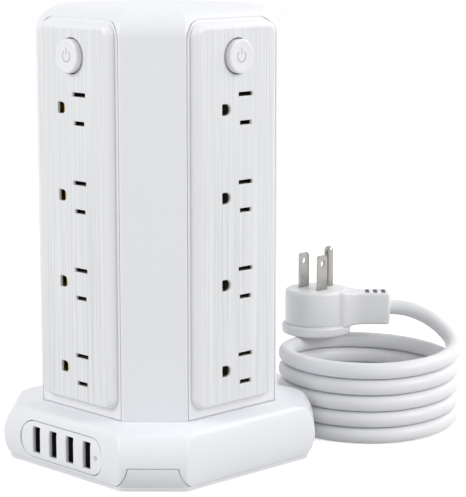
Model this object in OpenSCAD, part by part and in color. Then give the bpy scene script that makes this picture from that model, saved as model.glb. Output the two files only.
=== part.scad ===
// Tower power strip: four outlet faces on an octagonal tower, a base with charging ports,
// and a mains lead that leaves the hidden rear corner and lies coiled behind the base.
// Millimetres, +Z up, origin on the table under the tower's axis.
// Face 0 looks along -Y, face 1 along +X, face 2 along +Y and face 3 along -X.

/* [Tower] */
// Width of the tower across its flat faces
tower_w = 97; // [94:0.5:100]
// Reach of each corner cut along a face
tower_cut = 20; // [18:0.5:21]
// Height of the top above the table
top_h = 210; // [206:1:225]
// Radius of the shoulder over the flat faces
shoulder_r = 11; // [9.5:0.5:11.5]
// Radius of the shoulder over the cut corners
corner_shoulder_r = 12; // [11.75:0.25:13]
// Wall of the tower shell
shell_t = 4; // [3.5:0.25:4.5]

/* [Face panels] */
// Width of a face panel
panel_w = 54.4; // [53:0.2:55.4]
// Thickness of a panel's flange
panel_t = 2.5; // [2:0.25:3]
// Gap around a panel
panel_gap = 0.3; // [0.2:0.05:0.5]
// Height of the tower's top above a panel's top edge
panel_drop = 4.6; // [4.4:0.1:6]
// Radius of a panel's top corners
panel_r = 9; // [6:0.5:11]
// Width of the seat behind a panel's edge
seat_w = 7; // [5:0.5:8]
// Width of the raised pad
pad_w = 51; // [49:0.5:52]
// Height of the pad above the face
pad_rise = 3.5; // [3.2:0.1:4.5]
// Rounding of the pad's front edges
pad_round = 3; // [1.5:0.25:3.1]
// Radius of the pad's corners
pad_corner = 6; // [3:0.5:8]
// Wall at the pad's front
pad_wall = 2.4; // [2:0.1:3]
// Wall at the pad's sides
pad_side = 3; // [2.5:0.25:4]
// Height of the pad's lower edge above the base
pad_foot = 3; // [2:0.5:4]
// Height of the tower's top above the pad's upper edge
pad_drop = 6; // [5:0.5:8]

/* [Outlets] */
// Outlets on each face, as far as the tower's height has room
outlet_count = 4; // [2:1:4]
// Distance from one outlet to the next
outlet_pitch = 39.25; // [36:0.25:39.5]
// Height of the tower's top above the first outlet
outlet_drop = 44.2; // [43.5:0.1:46]
// Blade slots, to the right of the face's middle
slot_offset = 5; // [4:0.1:5.5]
// Distance between the two blade slots
slot_spread = 12.7; // [12.6:0.05:12.8]
// Width of the neutral slot
neutral_w = 8.5; // [8.2:0.1:8.8]
// Width of the live slot
live_w = 6.9; // [6.6:0.1:7.4]
// Height of a blade slot
slot_h = 1.9; // [1.8:0.05:2.2]
// Distance from the slots to the ground hole
ground_offset = 11.9; // [11.8:0.05:12]
// Width of the ground hole, flat end to round end
ground_w = 5; // [4.9:0.05:5.2]
// Height of the ground hole
ground_h = 5.1; // [4.9:0.05:5.3]

/* [Contacts] */
// Width of a contact carrier
carrier_w = 34; // [33:0.5:36]
// Depth of a contact carrier
carrier_t = 15; // [14:0.5:16]
// Reach of the carrier past its outer outlets
carrier_end = 12.7; // [12:0.1:13]
// Depth of the contact bars
bar_depth = 11.4; // [10:0.2:12]
// Gap from the bars to the pad's wall
bar_gap = 0.4; // [0.2:0.1:0.8]
// Thickness of a bar's strip
strip_t = 0.8; // [0.6:0.1:1]
// Thickness of a contact leaf
leaf_t = 0.5; // [0.4:0.05:0.6]
// Space between the two leaves of a blade contact
leaf_gap = 1.7; // [1.6:0.05:1.8]
// Space between the two leaves of a ground contact
ground_gap = 4.7; // [4.4:0.1:4.8]
// Clearance around the bars in their pockets
bar_clear = 0.2; // [0.1:0.05:0.3]
// Distance from a slot's end to its bar's strip
strip_reach = 3; // [2.5:0.1:3.3]

/* [Buttons] */
// Diameter of a button's cap
button_d = 15.2; // [14.6:0.1:15.4]
// Clearance around a cap in its hole
button_clear = 0.4; // [0.3:0.05:0.5]
// Height of the tower's top above a button's middle
button_drop = 20.9; // [20:0.1:21.5]
// Height of a cap above the pad
button_rise = 2.7; // [2.2:0.1:3.2]
// Rounding of a cap's edge
button_round = 1.6; // [1:0.1:2]
// Travel of a button
button_travel = 1.5; // [1:0.1:2]
// Reach of the cap's flange behind the pad
button_lip = 1.4; // [1:0.1:1.8]
// Thickness of the cap's flange
button_lip_t = 1.2; // [1:0.1:1.5]
// Gap between the cap's flange and the pad
button_stop_gap = 0.3; // [0.2:0.05:0.4]
// Diameter of a button's stem
stem_d = 6; // [5:0.25:7]
// Clearance around the stem in its switch
stem_clear = 0.4; // [0.3:0.05:0.6]
// Length of the stem inside its switch
stem_reach = 3.6; // [3:0.1:4]
// Width and height of a switch
switch_w = 16; // [14:0.5:16.4]
// Distance from the cap's flange to the switch
switch_gap = 3.6; // [3:0.1:4.2]
// Thickness of the arm that carries a switch
arm_t = 3; // [2.5:0.25:3.5]
// Width of that arm
arm_w = 18; // [17:0.5:20]

/* [Base] */
// How far the base stands out around the tower's flat faces
base_reach = 13; // [12:0.25:15]
// How much further out the base's cut corners stand than its flat sides
base_corner_reach = 11.1; // [10.6:0.1:12]
// Height of the base at the tower's foot
base_h = 28; // [27:0.5:30]
// Wall of the base
base_t = 2.5; // [2.2:0.1:3]
// How far the flat sides draw in at the bottom
side_tuck = 2.4; // [2:0.1:3]
// How far the cut corners draw in at the bottom
corner_tuck = 4.5; // [4:0.1:5]
// Radius of the base's shoulder
base_shoulder_r = 6; // [5.5:0.25:6.5]
// Slope of the base's top, in degrees
base_slope = 14; // [12:0.5:16]
// Height of the spigot that centres the tower in the base
spigot_h = 4; // [3:0.5:5]
// Wall of the spigot
spigot_t = 2; // [1.5:0.25:2.5]
// Clearance around the spigot
spigot_clear = 0.2; // [0.1:0.05:0.3]

/* [Bottom cover] */
// Height of the cover's underside above the table
cover_lift = 0.8; // [0.6:0.1:1]
// Height of the cover's visible rim
rim_h = 1.4; // [1.2:0.1:1.8]
// Thickness of the cover
cover_t = 2.4; // [2.2:0.1:2.4]
// Seam between the cover and the base
seam = 0.2; // [0.1:0.05:0.3]
// Height of a corner tab above the table
tab_h = 11.4; // [10:0.2:12]
// Width of a corner tab at its top
tab_top_w = 23; // [21:0.5:24]
// Width of a corner tab at its waist
tab_waist_w = 24.6; // [24:0.2:26]
// Width of a corner tab at the rim
tab_foot_w = 32.4; // [30:0.4:34]
// Radius of a tab's top corners
tab_r = 2; // [1:0.25:3]
// Depth of a tab's face behind the base's face
tab_inset = 0.8; // [0.5:0.1:1.2]
// Thickness of a tab
tab_t = 2.5; // [2:0.1:3]
// Gap around a tab
tab_gap = 0.4; // [0.3:0.05:0.5]
// Screw pillars, in from the left and right sides of the base
pillar_in_x = 11.5; // [10.5:0.25:12.5]
// Screw pillars, in from the front and rear sides of the base
pillar_in_y = 28.5; // [27.5:0.25:29]
// Diameter of a screw pillar
pillar_d = 8; // [7:0.25:8]
// Diameter of a cover screw's shank
screw_d = 2.6; // [2.2:0.1:3]
// Diameter of a cover screw's head
screw_head_d = 5.6; // [5:0.1:6]
// Height of a cover screw's head
screw_head_t = 1; // [0.8:0.1:1.1]
// Length of a cover screw under its head
screw_len = 12; // [10:0.5:14]
// Clearance around the screws
screw_clear = 0.1; // [0.05:0.05:0.3]
// Diameter of a rubber foot
foot_d = 12; // [10:0.5:13]
// Depth of a foot's seat in the cover
foot_seat = 1; // [0.8:0.1:1.2]
// Feet, in from the sides of the base
foot_in = 25.5; // [23.5:0.5:27.5]

/* [Charging ports] */
// Width of the port frame
frame_w = 57; // [55:0.5:58]
// Height of the port frame
frame_h = 16.8; // [16.4:0.1:17]
// Height of the frame's middle above the table
frame_z = 12.8; // [12.6:0.1:13]
// Gap around the frame
frame_gap = 0.25; // [0.15:0.05:0.3]
// Reach of the frame's hidden flange
frame_lip = 1; // [0.8:0.1:1.1]
// Thickness of that flange
frame_lip_t = 1.6; // [1.2:0.1:2]
// Number of charging ports
port_count = 4; // [2:1:4]
// Distance from one port to the next
port_pitch = 11.8; // [11:0.1:12]
// Width of a port's mouth
port_w = 4.9; // [4.6:0.1:5]
// Height of a port's mouth
port_h = 12.2; // [11.6:0.1:12.4]
// Wall of a port's metal shell
port_t = 0.3; // [0.25:0.05:0.4]
// Depth of a port's metal shell
port_depth = 13; // [12:0.5:14]
// Gap from the port shells to the frame
port_gap = 0.5; // [0.4:0.1:1]
// Thickness of a port's tongue
tongue_t = 1.8; // [1.6:0.1:1.9]
// Height of a port's tongue
tongue_h = 11.1; // [10.5:0.1:11.3]
// Tongue's side offset in the port
tongue_offset = 0.9; // [0.7:0.1:1]
// Depth of the tongue behind the shell's mouth
tongue_back = 1.5; // [1:0.1:2]
// Diameter of the indicator's light pipe
pipe_d = 1.8; // [1.6:0.1:2]
// Light pipe, to the right of the last port
pipe_offset = 6.1; // [5.6:0.1:6.4]
// Gap between the port board and the slots that hold it
board_gap = 0.2; // [0.1:0.05:0.3]
// Width of the port board
port_board_w = 54; // [52:0.5:55]
// Height of the port board
port_board_h = 16.5; // [16:0.5:17]
// Height of the port board above the cover
port_board_lift = 1; // [0.5:0.1:1.5]
// Thickness of the circuit boards
board_t = 1.6; // [1.2:0.1:1.8]
// Width of the surge board
surge_board_w = 56; // [54:1:58]
// Height of the bosses under the boards
boss_h = 4.8; // [4:0.1:5]
// Diameter of a board boss
boss_d = 6; // [5:0.5:7]
// Diameter of a surge suppressor disc
disc_d = 14; // [12:0.5:14]
// Thickness of a surge suppressor disc
disc_t = 4.5; // [4:0.25:5]
// Depth of the flat under a disc
disc_flat = 0.6; // [0.4:0.1:1]
// Distance from one disc to the next
disc_pitch = 12; // [10:0.5:14]

/* [Cord] */
// Diameter of the cord
cord_d = 7.4; // [7:0.1:7.8]
// Height from one turn to the next
coil_pitch = 7.9; // [7.6:0.1:8.4]
// Radius of the coil at the middle of the cord
coil_r = 41; // [40:0.5:43]
// Strain relief's diameter at the base
gland_d = 13; // [12:0.5:13.5]
// Strain relief's diameter at its tip
gland_tip_d = 9.6; // [9.2:0.1:10.5]
// Clearance around the strain relief in the base
gland_clear = 0.2; // [0.1:0.05:0.3]
// Reach of the strain relief's inner flange
gland_lip = 2.5; // [2:0.25:3]
// Thickness of that flange
gland_lip_t = 3; // [2:0.25:3.5]
// Ribs on the strain relief
gland_ribs = 5; // [3:1:6]
// Depth of the grooves between the ribs
gland_groove = 0.9; // [0.6:0.1:1]
// Width of the cord clamp
clamp_w = 14; // [13:0.5:15]
// Length of the cord clamp
clamp_len = 8; // [6:0.5:9]
// Wall of the clamp over the cord
clamp_wall = 2; // [1.5:0.25:2.5]
// Clearance around the cord in the clamp
clamp_clear = 0.1; // [0.05:0.05:0.2]
// Distance from the clamp to the strain relief
clamp_gap = 5; // [4:0.5:6]
// Length of cord inside the base
cord_inside = 30; // [26:1:32]

/* [Plug] */
// Diameter of the plug's front face
plug_d = 32; // [31:0.5:33]
// Diameter of the plug's rear rim
plug_rim_d = 35.4; // [34:0.2:36]
// Thickness of the plug
plug_t = 23; // [22:0.5:24]
// Thickness of the rear rim
plug_rim_t = 5; // [4:0.5:6]
// Depth of the groove behind the front part
plug_groove = 0.8; // [0.5:0.1:1]
// Width of the groove
plug_groove_w = 1; // [0.8:0.1:1.2]
// Rounding of the plug's edges
plug_round = 1.5; // [1:0.25:1.8]
// Distance from the head's middle to the neck's end
plug_reach = 37.5; // [36:0.5:39]
// Width of the neck
neck_w = 13.4; // [12.6:0.2:14]
// Depth of the neck
neck_t = 16.4; // [15:0.2:17]
// Distance from the plug's front to the neck's front
neck_step = 1.6; // [1.2:0.1:2]
// Number of grip slots across the neck
grip_count = 3; // [2:1:3]
// Distance from one grip slot to the next
grip_pitch = 4.3; // [4:0.1:4.5]
// Width of a grip slot
grip_w = 11; // [10:0.2:11.6]
// Height of a grip slot
grip_h = 2.1; // [1.8:0.1:2.3]
// Depth of a grip slot
grip_depth = 1.5; // [1:0.1:2]
// Distance from the neck's end to the first grip slot
grip_start = 3.4; // [3:0.1:4]
// Width of a plug blade
blade_w = 6.35; // [6.2:0.05:6.5]
// Thickness of a plug blade
blade_t = 1.5; // [1.4:0.02:1.6]
// Length of a plug blade
blade_len = 17.8; // [16:0.1:18.3]
// Diameter of a blade's hole
blade_hole_d = 3.2; // [3:0.1:3.5]
// Distance from a blade's tip to its hole
blade_hole_tip = 4.2; // [4:0.1:5]
// Diameter of the ground pin
pin_d = 4.75; // [4.7:0.01:4.8]
// Length of the ground pin
pin_len = 20.6; // [19:0.1:21]
// Diameter of the ground pin's root in the plug
pin_root_d = 4.2; // [4:0.05:4.5]
// Height of the pin's root above the plug's front
pin_root_rise = 0.3; // [0.1:0.1:0.5]
// Depth of the plug's pins in its body
pin_root = 6; // [4:0.5:8]
// Middle of the blades, off the head's middle
blade_shift = 2.8; // [2.4:0.1:3.2]

/* [Hidden] */

$fn = 96;

// Overrun of every cut
over = 1;

// Tower, worked out from the sizes above
tower_half = tower_w / 2;
tower_corner = (tower_w - tower_cut) / sqrt(2);
base_w = tower_w + 2 * base_reach;
reach = 2 * base_w;
seat_n = tower_half - panel_t;
pad_n = tower_half + pad_rise;
pad_back_n = pad_n - pad_wall;
panel_low = base_h + panel_gap;
panel_high = top_h - panel_drop;
pad_low = base_h + pad_foot;
pad_high = top_h - pad_drop;
shoulder_low = top_h - shoulder_r;

// Outlets and contacts
outlet_high = top_h - outlet_drop;
outlet_room = 1 + floor((outlet_high - pad_low - carrier_end) / outlet_pitch);
outlets = min(outlet_count, outlet_room);
outlet_low = outlet_high - (outlets - 1) * outlet_pitch;
ground_place = slot_offset - ground_offset;
carrier_n = pad_back_n - carrier_t;
bar_front_n = pad_back_n - bar_gap;
bar_back_n = bar_front_n - bar_depth;
carrier_high = outlet_high + carrier_end;
carrier_low = outlet_low - carrier_end;
neutral_strip = slot_offset + neutral_w / 2 + strip_reach;
live_strip = slot_offset - live_w / 2 - strip_reach;
ground_strip = ground_place - ground_w / 2 - strip_reach;

// Buttons
button_z = top_h - button_drop;
lip_n = pad_back_n - button_stop_gap;
lip_back_n = lip_n - button_lip_t;
switch_n = lip_back_n - switch_gap;
stem_n = switch_n - stem_reach;
arm_n = carrier_n - arm_t;

// Base and bottom cover
base_half = base_w / 2;
belly_share = 3 / 7;
belly_h = belly_share * base_h;
base_corner = base_half + base_corner_reach;
base_round = max(base_t + over, min(base_shoulder_r, (base_half - tower_half) / 2));
rim_mid = cover_lift + rim_h / 2;
rim_top = cover_lift + rim_h;
base_low = rim_top + seam;
cover_top = cover_lift + cover_t;
foot_top = cover_lift + foot_seat;
screw_seat = foot_top;
pillar_x = base_half - pillar_in_x;
pillar_y = base_half - pillar_in_y;
foot_place = base_half - foot_in;
spigot_inset = (panel_t + shell_t) / 2;

// Charging ports
port_front_n = base_half - side_tuck - base_t;
frame_back_n = side_n(base_half, side_tuck, base_t + frame_gap / 2 + frame_lip_t,
                      frame_z + port_h / 2 + port_t);
port_mouth_n = min(port_front_n - port_gap, frame_back_n - frame_gap / 2);
port_back_n = port_mouth_n - port_depth;
port_board_n = port_back_n - board_t;
port_board_low = cover_top + port_board_lift;
pipe_u = (port_count - 1) / 2 * port_pitch + pipe_offset;
surge_board_z = cover_top + boss_h;

// The cord's routes, chosen by hand: points on the cord's middle line
cord_r = cord_d / 2;
coil_middle = [34, 109];
coil_start = -135;
coil_turns = 4;
coil_rest = 165;
coil_flat = 100;
coil_steps = 24;
coil_sides = 6;
tube_sides = 12;
gland_z = 14;
gland_tip = [-70, 70];
lead_points = [
    [-70, 70, 14], [-77, 77, 13.5], [-83.5, 86.5, 12], [-86, 98, 9.5], [-83.5, 109.5, 7],
    [-77, 119.5, 5], [-67.5, 126, 4], [-56, 128, 3.7], [-44.5, 126, 3.7], [-34.5, 119.5, 3.7],
    [-23, 108, 3.7], [-11.5, 96.5, 3.7]
];
tail_points = [
    [61, 142, 38.2], [55, 147, 40.3], [47.5, 150, 43.2],
    [40, 151, 46.3], [32, 150, 49], [25, 147, 50.9]
];
plug_neck_end = [18.5, 142];
plug_turn = 225;

// The coil: each turn lies flat for its first stretch and climbs one pitch over the rest
coil_total = coil_turns * 360 + coil_rest;
coil_count = floor(coil_total / 360 * coil_steps);
function heading(a) = [cos(a), sin(a), 0];
function turn_share(a) = max(0, (a - 360 * floor(a / 360) - coil_flat) / (360 - coil_flat));
function climb(a) = coil_pitch * (floor(a / 360) + turn_share(a));
function coil_spot(a) = [
    coil_middle[0] + coil_r * cos(coil_start + a),
    coil_middle[1] + coil_r * sin(coil_start + a),
    cord_r + climb(a)
];
coil_in = coil_spot(0) - cord_d * heading(coil_start + 90);
coil_out = coil_spot(coil_total) + cord_d * heading(coil_start + coil_total + 90);
coil_path = concat(
    [coil_in],
    [for (i = [0:coil_count]) coil_spot(i * coil_total / coil_count)],
    [coil_out]
);

// The plug lies on its back on the last full turn
plug_rest_a = 330;
plug_rest_gap = 0.3;
plug_z = cord_r + climb((coil_turns - 1) * 360 + plug_rest_a) + cord_r + plug_rest_gap;
neck_z = plug_t - neck_step - neck_t / 2;
plug_axis = heading(plug_turn);
plug_end = [plug_neck_end[0], plug_neck_end[1], plug_z + neck_z];
plug_middle = [plug_neck_end[0], plug_neck_end[1], plug_z] + plug_reach * plug_axis;

lead_path = concat(lead_points, [coil_in]);
tail_path = concat([coil_out], tail_points, [plug_end]);

// A tube swept along points: each ring stands square to the path
function unit(v) = v / norm(v);
function side_of(t) = unit(cross(t, [0, 0, 1]));
function ring(p, t, r, sides) = [
    for (j = [0:sides - 1])
        p + r * (cross(side_of(t), t) * cos(360 * j / sides) - side_of(t) * sin(360 * j / sides))
];
function path_way(path, i, first, last) =
    i == 0 ? first
    : i == len(path) - 1 ? last
    : unit(unit(path[i + 1] - path[i]) + unit(path[i] - path[i - 1]));
function tube_rings(path, first, last, r, sides) = [
    for (i = [0:len(path) - 1]) ring(path[i], path_way(path, i, first, last), r, sides)
];
function flat_list(lists) = [for (l = lists) for (x = l) x];

module tube(path, first, last, r, sides) {
    n = len(path);
    side_faces = [
        for (i = [0:n - 2]) for (j = [0:sides - 1])
            each [
                [i * sides + j, (i + 1) * sides + j, i * sides + (j + 1) % sides],
                [i * sides + (j + 1) % sides, (i + 1) * sides + j, (i + 1) * sides + (j + 1) % sides]
            ]
    ];
    end_faces = [
        for (j = [1:sides - 2])
            each [
                [0, j, j + 1],
                [(n - 1) * sides, (n - 1) * sides + j + 1, (n - 1) * sides + j]
            ]
    ];
    polyhedron(points = flat_list(tube_rings(path, first, last, r, sides)),
               faces = concat(side_faces, end_faces));
}

// The coil's least gap to itself, measured between the points of one turn and the next
lead_way = heading(coil_start + 90);
tail_way = heading(coil_start + coil_total + 90);
coil_rings = tube_rings(coil_path, lead_way, tail_way, cord_r, coil_sides);
coil_gap = min([
    for (i = [0:len(coil_rings) - coil_steps - 1])
        for (k = [-2:2])
            if (i + coil_steps + k < len(coil_rings))
                for (p = coil_rings[i]) for (q = coil_rings[i + coil_steps + k]) norm(p - q)
]);
function path_length(path) = len(path) < 2 ? 0
    : norm(path[1] - path[0]) + path_length([for (i = [1:len(path) - 1]) path[i]]);
cord_length = path_length(lead_path) + path_length(coil_path) + path_length(tail_path);
echo(coil_gap = coil_gap, cord_length = cord_length, coil_out = coil_out, plug_end = plug_end);

// Places a piece on one of the four faces, or on one of the four corners
module on_face(k) {
    rotate([0, 0, 90 * k]) children();
}
module on_corner(k) {
    rotate([0, 0, 90 * k + 45]) children();
}

// A block across a face: from left to right, from inside to outside, from low to high
module block(u_low, u_high, n_low, n_high, z_low, z_high) {
    translate([u_low, -n_high, z_low])
        cube([u_high - u_low, n_high - n_low, z_high - z_low]);
}

// An outline on a face, as wide as it is and as high as it stands, pushed outwards
module pushed(n_low, n_high) {
    rotate([90, 0, 0]) translate([0, 0, n_low]) linear_extrude(height = n_high - n_low) children();
}

// A round bar that points out of a face
module rod(d, n_low, n_high) {
    rotate([90, 0, 0]) translate([0, 0, n_low]) cylinder(d = d, h = n_high - n_low);
}

// The tower's side view between two opposite sides, with its rounded shoulders
module tower_slice(half, r, inset, z_low) {
    centre_x = half - r;
    centre_z = top_h - r;
    rotate([90, 0, 0]) linear_extrude(height = reach, center = true) {
        polygon([
            [half - inset, z_low], [half - inset, centre_z], [centre_x, top_h - inset],
            [-centre_x, top_h - inset], [inset - half, centre_z], [inset - half, z_low]
        ]);
        for (s = [-1, 1]) translate([s * centre_x, centre_z]) circle(r = r - inset);
    }
}

module tower_form(inset, z_low) {
    intersection() {
        tower_slice(tower_half, shoulder_r, inset, z_low);
        rotate([0, 0, 90]) tower_slice(tower_half, shoulder_r, inset, z_low);
        rotate([0, 0, 45]) tower_slice(tower_corner, corner_shoulder_r, inset, z_low);
        rotate([0, 0, -45]) tower_slice(tower_corner, corner_shoulder_r, inset, z_low);
    }
}

// An eight-sided slab: half its width across the flat sides, and half across the cut corners
module octagon(half, corner, z_low, z_high) {
    intersection() {
        translate([-half, -half, z_low]) cube([2 * half, 2 * half, z_high - z_low]);
        rotate([0, 0, 45]) translate([-corner, -corner, z_low])
            cube([2 * corner, 2 * corner, z_high - z_low]);
    }
}

module tower_octagon(inset, z_low, z_high) {
    octagon(tower_half - inset, tower_corner - inset, z_low, z_high);
}

// The base's bellied side: its radius, and how far out it stands at a height
function side_r(tuck) = (belly_h * belly_h + tuck * tuck) / (2 * tuck);
function side_n(half, tuck, inset, z) =
    half - side_r(tuck) + sqrt(pow(side_r(tuck) - inset, 2) - pow(belly_h - z, 2));

// The base's side view: a bellied side, a round shoulder and a top that slopes to the tower
module base_slice(half, foot, tuck, inset, z_low) {
    belly_r = side_r(tuck);
    belly = [half - belly_r, belly_h];
    down = [cos(base_slope), -sin(base_slope)];
    inward = [-sin(base_slope), -cos(base_slope)];
    start = [foot, base_h] + base_round * inward;
    lean = (start - belly) * down;
    spread = (start - belly) * (start - belly);
    middle = start + down * (sqrt(lean * lean - spread + pow(belly_r - base_round, 2)) - lean);
    corner_r = base_round - inset;
    low_turn = middle + corner_r * (middle - belly) / norm(middle - belly);
    high_turn = middle - corner_r * inward;
    top_end = [foot - inset * tan(base_slope / 2), base_h - inset];
    low_end = [side_n(half, tuck, inset, z_low), z_low];
    rotate([90, 0, 0]) linear_extrude(height = reach, center = true) {
        polygon([
            low_end, low_turn, high_turn, top_end,
            [-top_end[0], top_end[1]], [-high_turn[0], high_turn[1]],
            [-low_turn[0], low_turn[1]], [-low_end[0], low_end[1]]
        ]);
        for (s = [0, 1]) mirror([s, 0]) {
            translate(middle) circle(r = corner_r);
            intersection() {
                translate(belly) circle(r = belly_r - inset);
                polygon([low_end, low_end + [belly_r, 0], low_turn + [belly_r, 0], low_turn]);
            }
        }
    }
}

module base_form(inset, z_low) {
    intersection() {
        base_slice(base_half, tower_half, side_tuck, inset, z_low);
        rotate([0, 0, 90]) base_slice(base_half, tower_half, side_tuck, inset, z_low);
        rotate([0, 0, 45]) base_slice(base_corner, tower_corner, corner_tuck, inset, z_low);
        rotate([0, 0, -45]) base_slice(base_corner, tower_corner, corner_tuck, inset, z_low);
    }
}

// A curved strip under the base's bellied side, from one depth to another, across a face
module side_strip(half, tuck, width, outer, inner) {
    rotate([90, 0, 90]) linear_extrude(height = width, center = true) intersection() {
        translate([side_r(tuck) - half, belly_h]) difference() {
            circle(r = side_r(tuck) - outer);
            circle(r = side_r(tuck) - inner);
        }
        translate([-half, cover_lift]) square([half - tower_half, base_h]);
    }
}

// Outline of a face panel, grown by a gap or drawn in by a seat's width
module panel_outline(grow, z_low) {
    half = panel_w / 2 + grow;
    high = panel_high + grow;
    r = panel_r + grow;
    polygon([
        [-half, z_low], [half, z_low], [half, high - r], [half - r, high],
        [r - half, high], [-half, high - r]
    ]);
    for (s = [-1, 1]) translate([s * (half - r), high - r]) circle(r = r);
}

module tower_shell() color("white") {
    difference() {
        tower_form(0, base_h);
        tower_form(shell_t, base_h - over);
        for (k = [0:3]) on_face(k) {
            pushed(seat_n, tower_half + over) panel_outline(panel_gap, base_h - over);
            block(seat_w - panel_w / 2, panel_w / 2 - seat_w, tower_half - shell_t - over,
                  tower_half, base_h + seat_w, shoulder_low);
        }
    }
    difference() {
        tower_octagon(spigot_inset, base_h - spigot_h, base_h + spigot_t);
        tower_octagon(spigot_inset + spigot_t, base_h - spigot_h - over, base_h + spigot_t + over);
    }
}

// The raised pad: rounded in plan, and rounded over at its sides and ends
module pad_body() {
    half = pad_w / 2;
    middle_n = pad_n - pad_round;
    intersection() {
        pushed(seat_n, pad_n + over) {
            polygon([
                [-half, pad_low + pad_corner], [pad_corner - half, pad_low],
                [half - pad_corner, pad_low], [half, pad_low + pad_corner],
                [half, pad_high - pad_corner], [half - pad_corner, pad_high],
                [pad_corner - half, pad_high], [-half, pad_high - pad_corner]
            ]);
            for (u = [-1, 1]) for (z = [pad_low + pad_corner, pad_high - pad_corner])
                translate([u * (half - pad_corner), z]) circle(r = pad_corner);
        }
        translate([0, 0, pad_low]) linear_extrude(height = pad_high - pad_low) {
            polygon([
                [-half, -seat_n], [-half, -middle_n], [pad_round - half, -pad_n],
                [half - pad_round, -pad_n], [half, -middle_n], [half, -seat_n]
            ]);
            for (u = [-1, 1]) translate([u * (half - pad_round), -middle_n]) circle(r = pad_round);
        }
        rotate([90, 0, 90]) linear_extrude(height = pad_w, center = true) {
            polygon([
                [-seat_n, pad_low], [-middle_n, pad_low], [-pad_n, pad_low + pad_round],
                [-pad_n, pad_high - pad_round], [-middle_n, pad_high], [-seat_n, pad_high]
            ]);
            for (z = [pad_low + pad_round, pad_high - pad_round])
                translate([-middle_n, z]) circle(r = pad_round);
        }
    }
}

// Outlet openings as outlines on the face
module ground_outline(z) {
    r = ground_h / 2;
    round_u = ground_place + ground_w / 2 - r;
    flat_u = ground_place - ground_w / 2;
    translate([flat_u, z - r]) square([round_u - flat_u, ground_h]);
    translate([round_u, z]) circle(r = r);
}

module slot_outline(width, z) {
    translate([slot_offset - width / 2, z - slot_h / 2]) square([width, slot_h]);
}

module face_panel(k) color("white") on_face(k) {
    difference() {
        union() {
            intersection() {
                tower_form(0, panel_low);
                pushed(seat_n, tower_half + over) panel_outline(0, panel_low);
            }
            pad_body();
        }
        block(pad_side - pad_w / 2, pad_w / 2 - pad_side, seat_n - over, pad_back_n,
              pad_low + pad_side, shoulder_low);
        pushed(seat_n, pad_n + over) {
            for (i = [0:outlets - 1]) {
                z = outlet_high - i * outlet_pitch;
                slot_outline(neutral_w, z + slot_spread / 2);
                slot_outline(live_w, z - slot_spread / 2);
                ground_outline(z);
            }
            translate([0, button_z]) circle(d = button_d + 2 * button_clear);
        }
    }
}

// A contact bar: one strip along the tower, with two leaves at every outlet
module contact_bar(strip, finger_end, rise, gap, grow) {
    inner = min(strip, finger_end);
    outer = max(strip, finger_end);
    block(strip - strip_t / 2 - grow, strip + strip_t / 2 + grow, bar_back_n, bar_front_n,
          carrier_low + leaf_t - grow, carrier_high - leaf_t + grow);
    for (i = [0:outlets - 1]) {
        z = outlet_high - i * outlet_pitch + rise;
        for (s = grow > 0 ? [0] : [-1, 1])
            translate([0, 0, s * (gap + leaf_t) / 2])
                block(inner - grow, outer + grow, bar_back_n, bar_front_n,
                      z - leaf_t / 2 - (grow > 0 ? gap / 2 + leaf_t / 2 + grow : 0),
                      z + leaf_t / 2 + (grow > 0 ? gap / 2 + leaf_t / 2 + grow : 0));
    }
}

module neutral_form(grow) {
    contact_bar(neutral_strip, slot_offset - neutral_w / 2, slot_spread / 2, leaf_gap, grow);
}

module live_form(grow) {
    contact_bar(live_strip, slot_offset + live_w / 2, -slot_spread / 2, leaf_gap, grow);
}

module ground_form(grow) {
    contact_bar(ground_strip, ground_place + ground_w / 2, 0, ground_gap, grow);
}

module neutral_bar(k) color("goldenrod") on_face(k) {
    neutral_form(0);
}

module live_bar(k) color("goldenrod") on_face(k) {
    live_form(0);
}

module ground_bar(k) color("goldenrod") on_face(k) {
    ground_form(0);
}

module carrier(k) color("gainsboro") on_face(k) {
    difference() {
        union() {
            block(-carrier_w / 2, carrier_w / 2, carrier_n, pad_back_n, carrier_low, carrier_high);
            block(-arm_w / 2, arm_w / 2, arm_n, carrier_n, carrier_high - arm_w, button_z + switch_w / 2);
        }
        pocket_fronts() neutral_form(bar_clear);
        pocket_fronts() live_form(bar_clear);
        pocket_fronts() ground_form(bar_clear);
    }
}

// A pocket runs from its bar out through the carrier's front
module pocket_fronts() {
    children();
    translate([0, -bar_gap - over, 0]) children();
}

module switch_body(k) color("dimgray") on_face(k) {
    difference() {
        block(-switch_w / 2, switch_w / 2, carrier_n, switch_n,
              button_z - switch_w / 2, button_z + switch_w / 2);
        translate([0, 0, button_z])
            rod(stem_d + 2 * stem_clear, stem_n - button_travel - stem_clear, switch_n + over);
    }
}

// A button: a round cap with a rolled edge, a flange behind the pad and a stem
module button(k) color("white") on_face(k) {
    front = pad_n + button_rise;
    r = button_d / 2;
    translate([0, 0, button_z]) rotate([90, 0, 0]) {
        rotate_extrude() {
            polygon([
                [0, lip_back_n], [r + button_lip, lip_back_n], [r + button_lip, lip_n], [r, lip_n],
                [r, front - button_round], [r - button_round, front], [0, front]
            ]);
            translate([r - button_round, front - button_round]) intersection() {
                circle(r = button_round);
                square([button_round, button_round]);
            }
        }
        translate([0, 0, stem_n]) cylinder(d = stem_d, h = lip_back_n - stem_n + button_lip_t / 2);
    }
}

// Outline of a corner tab on its corner
module tab_outline(grow) {
    high = tab_h + grow;
    foot = tab_foot_w / 2 + grow;
    waist = tab_waist_w / 2 + grow;
    top = tab_top_w / 2 + grow;
    waist_z = (base_low + tab_h) / 2;
    polygon([
        [-foot, cover_lift], [foot, cover_lift], [foot, base_low], [waist, waist_z],
        [top, high - tab_r], [top - tab_r, high], [tab_r - top, high], [-top, high - tab_r],
        [-waist, waist_z], [-foot, base_low]
    ]);
    for (s = [-1, 1]) translate([s * (top - tab_r), high - tab_r]) circle(r = tab_r);
}

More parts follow.
